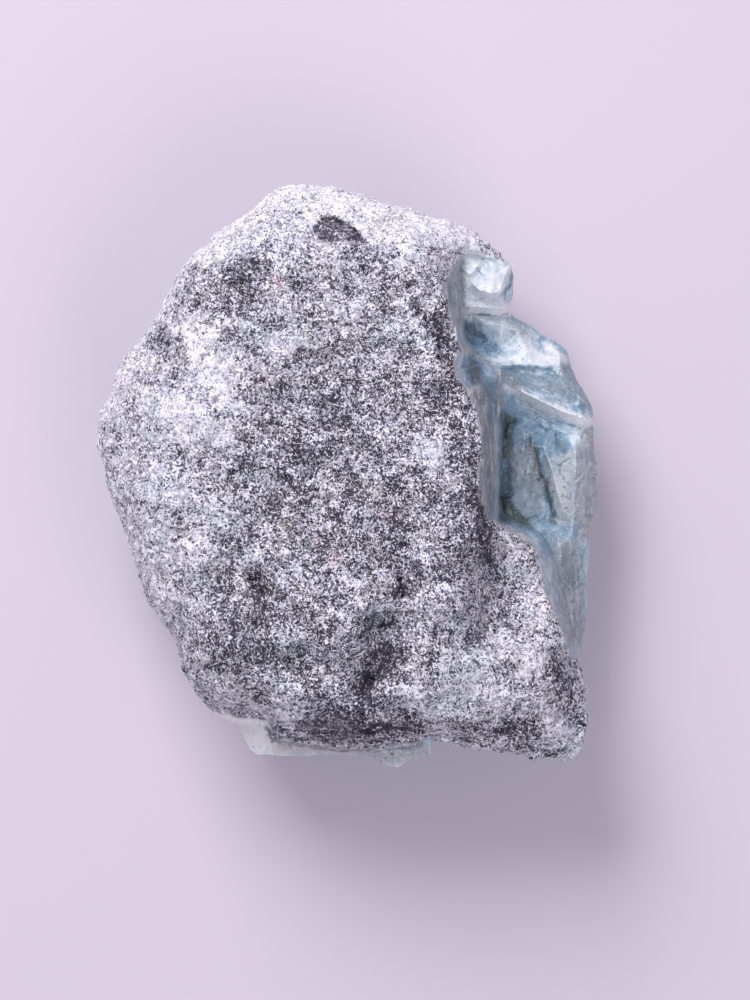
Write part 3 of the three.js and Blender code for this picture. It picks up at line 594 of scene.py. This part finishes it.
def slope_of(points):
    """1 on the streaked slope between the two ridges, 0.8 on the pale swell: there the fibres run across."""
    x, y = points[:, 0], points[:, 1]
    slope = smoothstep(14.0, 16.0, x) * smoothstep(5.0, 6.6, y + 0.42 * (x - 18)) * smoothstep(12.4, 11.2, y)
    swell = smoothstep(20.8, 21.8, x) * smoothstep(2.6, 1.4, y) * smoothstep(-7.0, -5.0, y)
    return np.maximum(slope, 0.8 * swell)


def fibres(points, slope):
    """Fine ridges along the mineral's fibres, from about -1 to 1."""
    x, y, z = points.T
    along_ridges = np.stack([0.12 * (0.92 * x - 0.39 * y), 0.39 * x + 0.92 * y, z], axis=1)
    upright = np.stack([x, 0.12 * y, 0.6 * z], axis=1)
    turned = noise(along_ridges, 0.5, 6) + 0.6 * noise(along_ridges, 1.1, 7)
    straight = noise(upright, 0.4, 6) + 0.6 * noise(upright, 0.9, 7)
    return slope * turned + (1 - slope) * straight


def relief(points, steep, crust, polish, settings):
    """How far each point stands out from the smooth stone, in millimetres."""
    lumps = 0.9 * noise(points, 2.8, 1) + 0.7 * noise(points, 1.3, 2) + 0.6 * noise(points, 0.6, 3)
    faces = 0.7 * broken_faces(points, 1.7, 4) + 1.0 * broken_faces(points, 0.7, 5)
    layers = noise(points * (0.25, 1.2, 1.2), 0.8, 10) * smoothstep(-22.0, -25.0, points[:, 1])
    cracked = smoothstep(-0.1, 0.5, noise(points, 4.0, 12))
    cracks = smoothstep(0.14, 0.0, np.abs(noise(points, 2.3, 11))) * cracked
    crusty = settings.crust_relief / MM * (lumps + faces + 1.6 * layers - 1.3 * cracks)
    shaken = ragged(points, 0.12)
    for line, reach, deep in PITS:
        crusty -= deep * nearness(shaken, line, reach)
    chips = 0.8 * broken_faces(points, 2.6, 8) + 0.5 * broken_faces(points, 1.1, 9)
    broken = settings.break_relief / MM * (1 - 0.6 * steep) * (chips + 0.5 * fibres(points, slope_of(points)))
    return (1 - polish) * (crust * crusty + (1 - crust) * broken)


def flat_map(points, faces, polish):
    """Lays the stone's triangles out flat: the top, the polished face, and the sides in two strips."""
    corners = points[faces]
    across = np.cross(corners[:, 1] - corners[:, 0], corners[:, 2] - corners[:, 0])
    up = across[:, 2] / np.linalg.norm(across, axis=1)
    middle = corners.mean(axis=1)
    turn = np.arctan2(middle[:, 1], middle[:, 0])
    far = np.hypot(middle[:, 0], middle[:, 1])
    sector = np.floor((turn + math.pi) / math.tau * OUTLINE_SECTORS).astype(int) % OUTLINE_SECTORS
    outline = np.zeros(OUTLINE_SECTORS)
    np.maximum.at(outline, sector, far)
    under = (polish[faces].mean(axis=1) > 0.5) | (up < -0.5)
    side = ~under & (up < 0.3) & (far > outline[sector] - 6)

    around = np.arctan2(corners[:, :, 1], corners[:, :, 0])
    around += math.tau * np.round((turn[:, None] - around) / math.tau)
    place = corners[:, :, :2] + FLAT_TOP
    place[under] += FLAT_UNDER
    strip = np.stack([FLAT_SIDE_RADIUS * around, corners[:, :, 2]], axis=2) + FLAT_SIDES
    strip[turn > 0] += FLAT_BACK_SIDES
    place[side] = strip[side]
    return place / FLAT_MAP_WIDTH


def flat_spikes(count):
    """Lays each needle's four triangles out in a small square of its own."""
    side = math.ceil(math.sqrt(count))
    square = np.stack([np.arange(count) % side, np.arange(count) // side], axis=1)
    base = [(0.2, 0.05), (0.8, 0.05), (0.5, 0.2)]
    wings = [[(0.1 + 0.27 * k, 0.3), (0.5, 0.95), (0.37 + 0.27 * k, 0.3)] for k in range(3)]
    inside = np.array([base, *wings])
    return ((square[:, None, None] + inside) / side).reshape(-1, 3, 2)


def make_mesh(name, points, faces, values, flat, material):
    """A mesh object from a net in millimetres, with its values stored at its points and a flat map of it."""
    mesh = bpy.data.meshes.new(name)
    mesh.vertices.add(len(points))
    mesh.vertices.foreach_set("co", (points * MM).astype(np.float32).ravel())
    mesh.loops.add(faces.size)
    mesh.loops.foreach_set("vertex_index", faces.astype(np.int32).ravel())
    mesh.polygons.add(len(faces))
    mesh.polygons.foreach_set("loop_start", np.arange(0, faces.size, 3, dtype=np.int32))
    mesh.update(calc_edges=True)
    mesh.validate()
    for key, value in values.items():
        mesh.attributes.new(key, "FLOAT", "POINT").data.foreach_set("value", value.astype(np.float32))
    mesh.uv_layers.new(name=FLAT_MAP).data.foreach_set("uv", flat.astype(np.float32).ravel())
    mesh.materials.append(material)
    piece = bpy.data.objects.new(name, mesh)
    bpy.context.scene.collection.objects.link(piece)
    return piece


# Shader maths

class Wire:
    """One value or colour on its way through a material. Maths on it adds the nodes that do it."""

    def __init__(self, recipe, socket):
        self.recipe = recipe
        self.socket = socket

    def maths(self, operation, *values):
        return self.recipe.node("ShaderNodeMath", {"operation": operation}, dict(enumerate(values)))

    def __add__(self, other):
        return self.maths("ADD", self, other)

    def __radd__(self, other):
        return self.maths("ADD", other, self)

    def __sub__(self, other):
        return self.maths("SUBTRACT", self, other)

    def __rsub__(self, other):
        return self.maths("SUBTRACT", other, self)

    def __mul__(self, other):
        return self.maths("MULTIPLY", self, other)

    def __rmul__(self, other):
        return self.maths("MULTIPLY", other, self)

    def larger(self, other):
        return self.maths("MAXIMUM", self, other)


class Recipe:
    """The nodes of one material."""

    def __init__(self, name):
        self.material = bpy.data.materials.new(name)
        self.material.use_nodes = True
        self.tree = self.material.node_tree
        self.tree.nodes.clear()

    def node(self, kind, settings=None, inputs=None, output=0):
        """Adds a node: its settings first, then the values or links of its sockets."""
        made = self.tree.nodes.new(kind)
        for key, value in (settings or {}).items():
            if key == "stops":
                self.set_stops(made.color_ramp, value)
            else:
                setattr(made, key, value)
        for key, value in (inputs or {}).items():
            if isinstance(value, Wire):
                self.tree.links.new(value.socket, made.inputs[key])
            else:
                made.inputs[key].default_value = value
        return Wire(self, made.outputs[output]) if made.outputs else None

    def set_stops(self, ramp, stops):
        while len(ramp.elements) < len(stops):
            ramp.elements.new(0.5)
        for element, (place, colour) in zip(ramp.elements, stops):
            element.position = place
            element.color = (*colour, 1)

    def stored(self, name):
        """A value stored at the mesh's points."""
        return self.node("ShaderNodeAttribute", {"attribute_name": name}, output="Fac")

    def place(self):
        return self.node("ShaderNodeTexCoord", output="Object")

    def turned(self, place, angles, stretch):
        """The same place, turned and squeezed, so that a noise on it runs in streaks."""
        return self.node(
            "ShaderNodeMapping",
            {"vector_type": "TEXTURE"},
            {"Vector": place, "Rotation": angles, "Scale": stretch},
        )

    def noise(self, place, size, detail=2.0, rough=0.5, warp=0.0):
        """Noise from about 0.3 to 0.7 whose bumps have a size in metres."""
        sockets = {"Vector": place, "Scale": 1 / size, "Detail": detail, "Roughness": rough}
        return self.node("ShaderNodeTexNoise", {}, {**sockets, "Distortion": warp}, "Fac")

    def step(self, value, low, high):
        """0 below low, 1 above high, and smooth between."""
        settings = {"interpolation_type": "SMOOTHSTEP"}
        return self.node("ShaderNodeMapRange", settings, {"Value": value, "From Min": low, "From Max": high})

    def mix(self, share, first, second, most=1.0, blend="MIX"):
        """A mix of two colours. At a share of 1, most of the second shows."""
        if most != 1:
            share = share * most
        sockets = {}
        for key, value in ((0, share), (6, first), (7, second)):
            sockets[key] = (*value, 1) if isinstance(value, tuple) else value
        return self.node("ShaderNodeMix", {"data_type": "RGBA", "blend_type": blend}, sockets, 2)

    def multiplied(self, first, second):
        return self.mix(1.0, first, second, blend="MULTIPLY")

    def ramp(self, value, stops):
        return self.node("ShaderNodeValToRGB", {"stops": stops}, {"Fac": value})

    def finish(self, surface):
        """Ends the recipe with its surface and gives its material."""
        self.node("ShaderNodeOutputMaterial", {}, {"Surface": surface})
        return self.material


def tinted(recipe, colour):
    """A colour with the stone's stains in it."""
    tint = recipe.stored("tint")
    colour = recipe.multiplied(colour, recipe.mix(tint, (1.0, 1.0, 1.0), paint(226, 228, 196)))
    return recipe.multiplied(colour, recipe.mix(0 - tint, (1.0, 1.0, 1.0), paint(230, 200, 198)))


def crust_colour(recipe, place, settings):
    """Dark volcanic rock, felted with white needles where the dust lies thick, darker where painted shade
    lies in the creases, along the gully and on the scarp.
    """
    dust = recipe.stored("dust")
    patches = recipe.noise(place, 3.0 * MM, 2.0, 0.6, 0.5)
    clumps = recipe.noise(place, 1.1 * MM, 1.0, 0.7, 0.8)
    speckle = recipe.noise(place, 0.25 * MM, 2.0, 0.8, 0.4)
    layers = recipe.noise(recipe.turned(place, (0, 0, 0.05), (9.0, 1.0, 1.0)), 0.35 * MM, 2.0, 0.6)
    streaks, bundles = None, None
    for angles in ((0.2, 0.3, 0.5), (1.1, -0.4, 1.7), (-0.5, 0.9, 2.7), (0.7, 1.4, -0.9)):
        along = recipe.turned(place, angles, (0.16, 1.0, 0.16))
        thin, thick = recipe.noise(along, 0.7 * MM, 1.0, 0.5), recipe.noise(along, 2.6 * MM, 1.0, 0.6)
        streaks = thin if streaks is None else streaks.larger(thin)
        bundles = thick if bundles is None else bundles.larger(thick)
    # Ridges get more white and creases less, which darkens the creases as painted shade.
    cover = dust * 1.3 - 0.2 + (patches - 0.5) * 2.1 + (clumps - 0.5) * 1.9 + recipe.stored("edge") * 0.45
    felt = cover + (speckle - 0.5) * 5.4 + (streaks - 0.62) * 3.5 + (bundles - 0.62) * 2.6
    layered = recipe.stored("layered")
    tone = felt * (1 - layered) + ((layers - 0.5) * 2.0 + (speckle - 0.5) * 1.2 + 0.28) * layered
    stops = (
        (0.0, tuple(settings.crust_dark)),
        (0.3, paint(60, 56, 70)),
        (0.51, tuple(settings.crust_light)),
        (0.65, paint(158, 155, 170)),
        (0.8, paint(212, 210, 221)),
        (1.0, tuple(settings.needle_white)),
    )
    rock = recipe.ramp(tone * 0.7 + 0.3, stops)
    hue = recipe.step(recipe.noise(place, 4 * MM, 3.0, 0.6), 0.38, 0.62)
    rock = recipe.multiplied(rock, recipe.mix(hue, paint(248, 247, 255), paint(255, 245, 248)))
    return tinted(recipe, rock)


def larimar_colour(recipe, place, settings):
    """The mineral, from white through sky blue to deep teal, with brown-grey stains and frosty grains,
    whitened on its ridges and darkened in its creases as painted shade.
    """
    slope = recipe.stored("slope")
    warm = recipe.stored("warm")
    clouds = recipe.noise(place, 1.6 * MM, 5.0, 0.68, 0.4)
    upright = recipe.noise(recipe.turned(place, (0, 0, 0), (1.0, 6.0, 2.0)), 0.45 * MM, 3.0, 0.6)
    turned = recipe.noise(recipe.turned(place, (0, 0, SLOPE_TURN), (7.0, 1.0, 1.0)), 0.5 * MM, 3.0, 0.6)
    streaks = upright * (1 - slope) + turned * slope
    large, small = (
        recipe.node("ShaderNodeTexVoronoi", {}, {"Vector": place, "Scale": 1 / (size * MM)}, "Color")
        for size in (1.3, 0.5)
    )
    mottle = (clouds - 0.5) * (0.6 - slope * 0.3) + (streaks - 0.5) * (slope * 0.5 + 0.45)
    tone = recipe.stored("blue") + mottle + (large - 0.5) * 0.18 + (small - 0.5) * 0.12
    body = recipe.ramp(
        tone,
        (
            (0.0, tuple(settings.larimar_white)),
            (0.25, paint(204, 217, 231)),
            (0.5, tuple(settings.larimar_blue)),
            (0.75, paint(86, 121, 146)),
            (1.0, tuple(settings.larimar_deep)),
        ),
    )
    # Brown-grey stain, which along the overhang is painted shadow.
    stain_and_shadow = recipe.mix(recipe.step(streaks, 0.4, 0.62), paint(112, 103, 100), paint(174, 166, 163))
    body = recipe.mix(warm, body, stain_and_shadow, 0.85)
    edge = recipe.stored("edge")
    # Whitens the sharp ridges.
    body = recipe.mix(recipe.step(edge, 0.12, 0.7), body, paint(238, 240, 245), 0.7)
    # Darkens the creases as painted shade.
    body = recipe.mix(recipe.step(edge, -0.15, -0.9), body, paint(74, 86, 98), 0.22)
    hairlines = recipe.step(streaks, 0.63, 0.68)
    body = recipe.mix(hairlines * (slope * 0.4 + 0.45), body, paint(228, 232, 240))
    grains = recipe.noise(place, 0.24 * MM, 2.0, 0.7, 0.3)
    body = recipe.mix(recipe.step(grains - tone * 0.06, 0.54, 0.63), body, paint(236, 239, 245), 0.3)
    body = recipe.mix(recipe.step(grains, 0.42, 0.34), body, paint(86, 96, 108), 0.3)
    specks = recipe.step(recipe.noise(place, 0.42 * MM, 1.0, 0.5) + warm * 0.05, 0.70, 0.76)
    return tinted(recipe, recipe.mix(specks, body, paint(98, 90, 92), 0.75))


def polished_colour(recipe, place, settings):
    """Sky blue under a wandering net of white, as the polished mineral shows."""
    sockets = {"Vector": place, "Scale": 1 / (6 * MM), "Detail": 3.0}
    drift = recipe.node("ShaderNodeTexNoise", {}, sockets, "Color")
    moved = recipe.node(
        "ShaderNodeVectorMath", {"operation": "MULTIPLY_ADD"}, {0: drift, 1: (7 * MM,) * 3, 2: place}
    )
    sockets = {"Vector": moved, "Scale": 1 / (7.5 * MM)}
    edges = recipe.node("ShaderNodeTexVoronoi", {"feature": "DISTANCE_TO_EDGE"}, sockets, "Distance")
    clouds = recipe.noise(moved, 3 * MM, 4.0, 0.6)
    body = recipe.ramp(
        clouds, ((0.28, paint(66, 128, 158)), (0.5, paint(112, 170, 196)), (0.72, paint(178, 214, 226)))
    )
    net = 1 - recipe.step(edges + (clouds - 0.5) * 0.3, 0.0, 0.17)
    return recipe.mix(net, body, paint(232, 240, 243), 0.85)


def stone_material(settings):
    recipe = Recipe("larimar stone")
    place = recipe.place()
    crust = recipe.stored("crust")
    polish = recipe.stored("polish")
    rough = larimar_colour(recipe, place, settings)
    larimar = recipe.mix(polish, rough, polished_colour(recipe, place, settings))
    colour = recipe.mix(crust, larimar, crust_colour(recipe, place, settings))
    grain = recipe.noise(place, 0.22 * MM, 2.0, 0.7)
    bump = recipe.node(
        "ShaderNodeBump",
        {},
        {"Strength": 0.4, "Distance": 0.08 * MM, "Height": grain * (crust * 0.7 + 0.3) * (1 - polish)},
    )
    surface = recipe.node(
        "ShaderNodeBsdfPrincipled",
        {},
        {
            "Base Color": colour,
            "Roughness": crust * 0.3 + (1 - polish) * 0.42 + 0.12,
            "Normal": bump,
            "Coat Weight": polish * 0.6,
            "Coat Roughness": 0.04,
            "IOR": 1.6,
        },
    )
    return recipe.finish(surface)


def needle_material(settings):
    recipe = Recipe("white needles")
    shade = recipe.step(recipe.noise(recipe.place(), 0.5 * MM, 1.0, 0.5), 0.35, 0.65)
    colour = recipe.mix(shade, paint(198, 196, 210), tuple(settings.needle_white))
    surface = recipe.node("ShaderNodeBsdfPrincipled", {}, {"Base Color": colour, "Roughness": 0.6})
    return recipe.finish(surface)


def felt_needles(points, faces, density, settings):
    """Thin three-sided spikes lying in every direction on the crust: their points and faces."""
    chance = np.random.default_rng(NEEDLE_SEED)
    a, b, c = (points[faces[:, corner]] for corner in range(3))
    across = np.cross(b - a, c - a)
    weight = np.linalg.norm(across, axis=1) * density[faces].mean(axis=1)
    chosen = chance.choice(len(faces), settings.needle_count, p=weight / weight.sum())
    share = np.sort(chance.random((len(chosen), 2)), axis=1)
    spot = (
        a[chosen] * share[:, :1]
        + b[chosen] * (share[:, 1:] - share[:, :1])
        + c[chosen] * (1 - share[:, 1:])
    )
    up = across[chosen] / np.linalg.norm(across[chosen], axis=1, keepdims=True)
    way = chance.normal(size=up.shape)
    way -= (1 - NEEDLE_TILT) * np.sum(way * up, axis=1, keepdims=True) * up
    way /= np.linalg.norm(way, axis=1, keepdims=True)
    side = np.cross(up, way)
    side /= np.linalg.norm(side, axis=1, keepdims=True)
    rise = np.cross(way, side)
    length = settings.needle_length / MM * chance.uniform(0.5, 1.5, (len(chosen), 1))
    wide = settings.needle_width / MM * chance.uniform(0.6, 1.2, (len(chosen), 1))
    tail = spot - way * length / 2
    tip = spot + way * length / 2
    corners = [tail + side * wide / 2, tail - side * wide / 2, tail + rise * wide / 2, tip]
    first = 4 * np.arange(len(chosen))[:, None, None]
    spike = np.array([[0, 1, 2], [0, 3, 1], [1, 3, 2], [2, 3, 0]])
    return np.stack(corners, axis=1).reshape(-1, 3), (first + spike).reshape(-1, 3)


def a_length(name, description, default, least=0.0):
    """A length that the user can change."""
    return FloatProperty(
        name=name,
        description=description,
        default=default,
        min=least,
        unit="LENGTH",
        subtype="DISTANCE",
        precision=5,
    )


def a_colour(name, description, default):
    """A colour that the user can change."""
    return FloatVectorProperty(name=name, description=description, default=default, subtype="COLOR")


class LarimarStoneSettings(bpy.types.PropertyGroup):
    """Sizes and colours of the stone."""

    fine_step: a_length("Surface Step", "Longest edge of the net on the rough side", 0.31 * MM, 0.1 * MM)
    side_coarseness: FloatProperty(
        name="Side Coarseness",
        description="How much longer the edges may be on the steep sides, as a share",
        default=0.95,
        min=0,
    )
    crust_relief: a_length("Crust Relief", "Height of the crust's small lumps and broken faces", 0.17 * MM)
    break_relief: a_length("Break Relief", "Height of the chips and fibres on the blue faces", 0.09 * MM)
    needle_count: IntProperty(
        name="Needles",
        description="How many white needles lie on the crust",
        default=47000,
        min=100,
        max=49000,
    )
    needle_length: a_length("Needle Length", "Middle length of the white needles", 0.55 * MM)
    needle_width: a_length("Needle Width", "Width of the white needles at their thick end", 0.11 * MM)
    crust_dark: a_colour("Dark Rock", "Darkest rock of the crust", paint(38, 35, 46))
    crust_light: a_colour("Grey Rock", "Lighter rock of the crust", paint(96, 92, 106))
    needle_white: a_colour("Needle White", "White needles and dust", paint(248, 247, 252))
    larimar_white: a_colour("Larimar White", "Palest mineral", paint(242, 242, 247))
    larimar_blue: a_colour("Larimar Blue", "Middle blue of the mineral", paint(128, 161, 188))
    larimar_deep: a_colour("Larimar Deep", "Deepest teal of the mineral", paint(54, 76, 86))


class LarimarStageSettings(bpy.types.PropertyGroup):
    """Floor and light."""

    floor_colour: a_colour("Floor", "Colour of the plain floor", paint(214, 202, 214))
    key_power: FloatProperty(
        name="Key Light",
        description="Power of the large light above the stone's top edge",
        default=3.2,
        unit="POWER",
    )
    fill_power: FloatProperty(
        name="Fill Light", description="Power of the light over the stone", default=0.9, unit="POWER"
    )
    camera_height: a_length("Camera Height", "Height of the camera over the floor", 0.6)


class LARIMAR_OT_stone(bpy.types.Operator):
    """Build the stone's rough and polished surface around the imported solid"""

    bl_idname = "larimar.stone"
    bl_label = "Larimar Stone"

    def execute(self, context):
        settings = context.scene.larimar_stone
        net = rough_stone(settings)
        crust = crust_of(net.points)
        polish = polish_of(net.points)
        form = net.bulge()
        normals = net.normals()
        out = relief(net.points, 1 - np.abs(normals[:, 2]), crust, polish, settings)
        shaken = ragged(net.points, 0.12)
        dust = painted(ragged(net.points, 0.4), 0.47, DUST_AND_SHADE_MARKS)
        values = {
            "crust": crust,
            "polish": polish,
            "dust": painted(net.points, dust, CHIP_DUST_AND_SHADE_MARKS),
            "layered": painted(shaken, 0.0, LAYERED_MARKS),
            "tint": painted(net.points, 0.0, TINT_MARKS),
            "blue": painted(shaken, 0.4, BLUE_MARKS),
            "warm": painted(shaken, 0.1, WARM_MARKS),
            "slope": slope_of(net.points),
        }
        flat = flat_map(net.points, net.faces, polish)
        net.points = net.points + out[:, None] * normals
        # How sharply the finished stone stands out: the materials whiten ridges with it and darken creases
        # with it as painted shade.
        values["edge"] = np.clip(form + 0.6 * crust * net.bulge(), -1, 1)
        piece = make_mesh(STONE_PIECE, net.points, net.faces, values, flat, stone_material(settings))
        piece.data.shade_smooth()
        piece.data.set_sharp_from_angle(angle=CREASE_ANGLE)
        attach(piece, "root")
        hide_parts(STONE_NODE)
        return {"FINISHED"}


class LARIMAR_OT_needles(bpy.types.Operator):
    """Lay the white needles on the finished stone's crust"""

    bl_idname = "larimar.needles"
    bl_label = "White Needles"

    def execute(self, context):
        settings = context.scene.larimar_stone
        mesh = bpy.data.objects[STONE_PIECE].data
        points = np.zeros(3 * len(mesh.vertices))
        mesh.vertices.foreach_get("co", points)
        faces = np.zeros(3 * len(mesh.polygons), np.int32)
        mesh.polygons.foreach_get("vertices", faces)
        crust, dust, layered = (np.zeros(len(mesh.vertices)) for _ in range(3))
        for key, value in (("crust", crust), ("dust", dust), ("layered", layered)):
            mesh.attributes[key].data.foreach_get("value", value)
        points = points.reshape(-1, 3) / MM
        clumps = smoothstep(-0.5, 0.5, noise(points, 1.2, 31))
        density = (crust > 0.5) * (0.15 + 0.85 * clumps) * smoothstep(0.0, 0.8, dust) * (1 - layered)
        points, faces = felt_needles(points, faces.reshape(-1, 3), density, settings)
        flat = flat_spikes(len(faces) // 4)
        piece = make_mesh("white_needles", points, faces, {}, flat, needle_material(settings))
        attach(piece, "root")
        return {"FINISHED"}


class LARIMAR_OT_stage(bpy.types.Operator):
    """Add the plain floor, the soft lights and the camera"""

    bl_idname = "larimar.stage"
    bl_label = "Stage"

    def execute(self, context):
        settings = context.scene.larimar_stage
        scene = context.scene
        bpy.ops.mesh.primitive_plane_add(size=3)
        floor = context.object
        floor.name = "floor"
        recipe = Recipe("floor")
        sockets = {"Base Color": (*settings.floor_colour, 1), "Roughness": 0.9}
        floor.data.materials.append(
            recipe.finish(recipe.node("ShaderNodeBsdfPrincipled", {}, sockets))
        )

        self.add_light("key", (-0.2, 0.4, 0.4), 0.3, settings.key_power)
        self.add_light("fill", (0.2, -0.35, 0.4), 0.4, settings.fill_power)
        scene.world = bpy.data.worlds.new("soft sky")
        scene.world.use_nodes = True
        sky = scene.world.node_tree.nodes["Background"]
        sky.inputs["Color"].default_value = (0.85, 0.87, 1, 1)
        sky.inputs["Strength"].default_value = 0.45
        scene.view_settings.view_transform = "Standard"

        camera = bpy.data.objects.new("camera", bpy.data.cameras.new("camera"))
        scene.collection.objects.link(camera)
        pixel = FRAME_TALL / FRAME_HEIGHT
        across = (FRAME_WIDTH / 2 - STONE_MIDDLE_PIXEL[0]) * pixel
        along = (STONE_MIDDLE_PIXEL[1] - FRAME_HEIGHT / 2) * pixel
        camera.location = (across, along, settings.camera_height)
        middle = (CAD_BOX[0][2] + CAD_BOX[1][2]) / 2
        camera.data.sensor_width = SENSOR
        camera.data.lens = SENSOR * (settings.camera_height - middle) / FRAME_TALL
        scene.camera = camera
        return {"FINISHED"}

    def add_light(self, name, place, size, power):
        light = bpy.data.lights.new(name, "AREA")
        light.size = size
        light.energy = power
        lamp = bpy.data.objects.new(name, light)
        lamp.location = place
        lamp.rotation_euler = (-Vector(place)).to_track_quat("-Z", "Y").to_euler()
        bpy.context.scene.collection.objects.link(lamp)


class LARIMAR_PT_panel(bpy.types.Panel):
    bl_label = "Larimar"
    bl_space_type = "VIEW_3D"
    bl_region_type = "UI"
    bl_category = "Larimar"

    def draw(self, context):
        shown = (
            ("larimar_stone", (LARIMAR_OT_stone, LARIMAR_OT_needles)),
            ("larimar_stage", (LARIMAR_OT_stage,)),
        )
        for settings, operators in shown:
            group = getattr(context.scene, settings)
            for key in group.bl_rna.properties.keys():
                if key not in ("rna_type", "name"):
                    self.layout.prop(group, key)
            for operator in operators:
                self.layout.operator(operator.bl_idname)


CLASSES = (
    LarimarStoneSettings,
    LarimarStageSettings,
    LARIMAR_OT_stone,
    LARIMAR_OT_needles,
    LARIMAR_OT_stage,
    LARIMAR_PT_panel,
)


def register():
    for made in CLASSES:
        bpy.utils.register_class(made)
    bpy.types.Scene.larimar_stone = PointerProperty(type=LarimarStoneSettings)
    bpy.types.Scene.larimar_stage = PointerProperty(type=LarimarStageSettings)


def unregister():
    del bpy.types.Scene.larimar_stage
    del bpy.types.Scene.larimar_stone
    for made in reversed(CLASSES):
        bpy.utils.unregister_class(made)


def main():
    register()
    bpy.ops.larimar.stage()
    bpy.ops.larimar.stone()
    bpy.ops.larimar.needles()


if __name__ == "__main__":
    main()
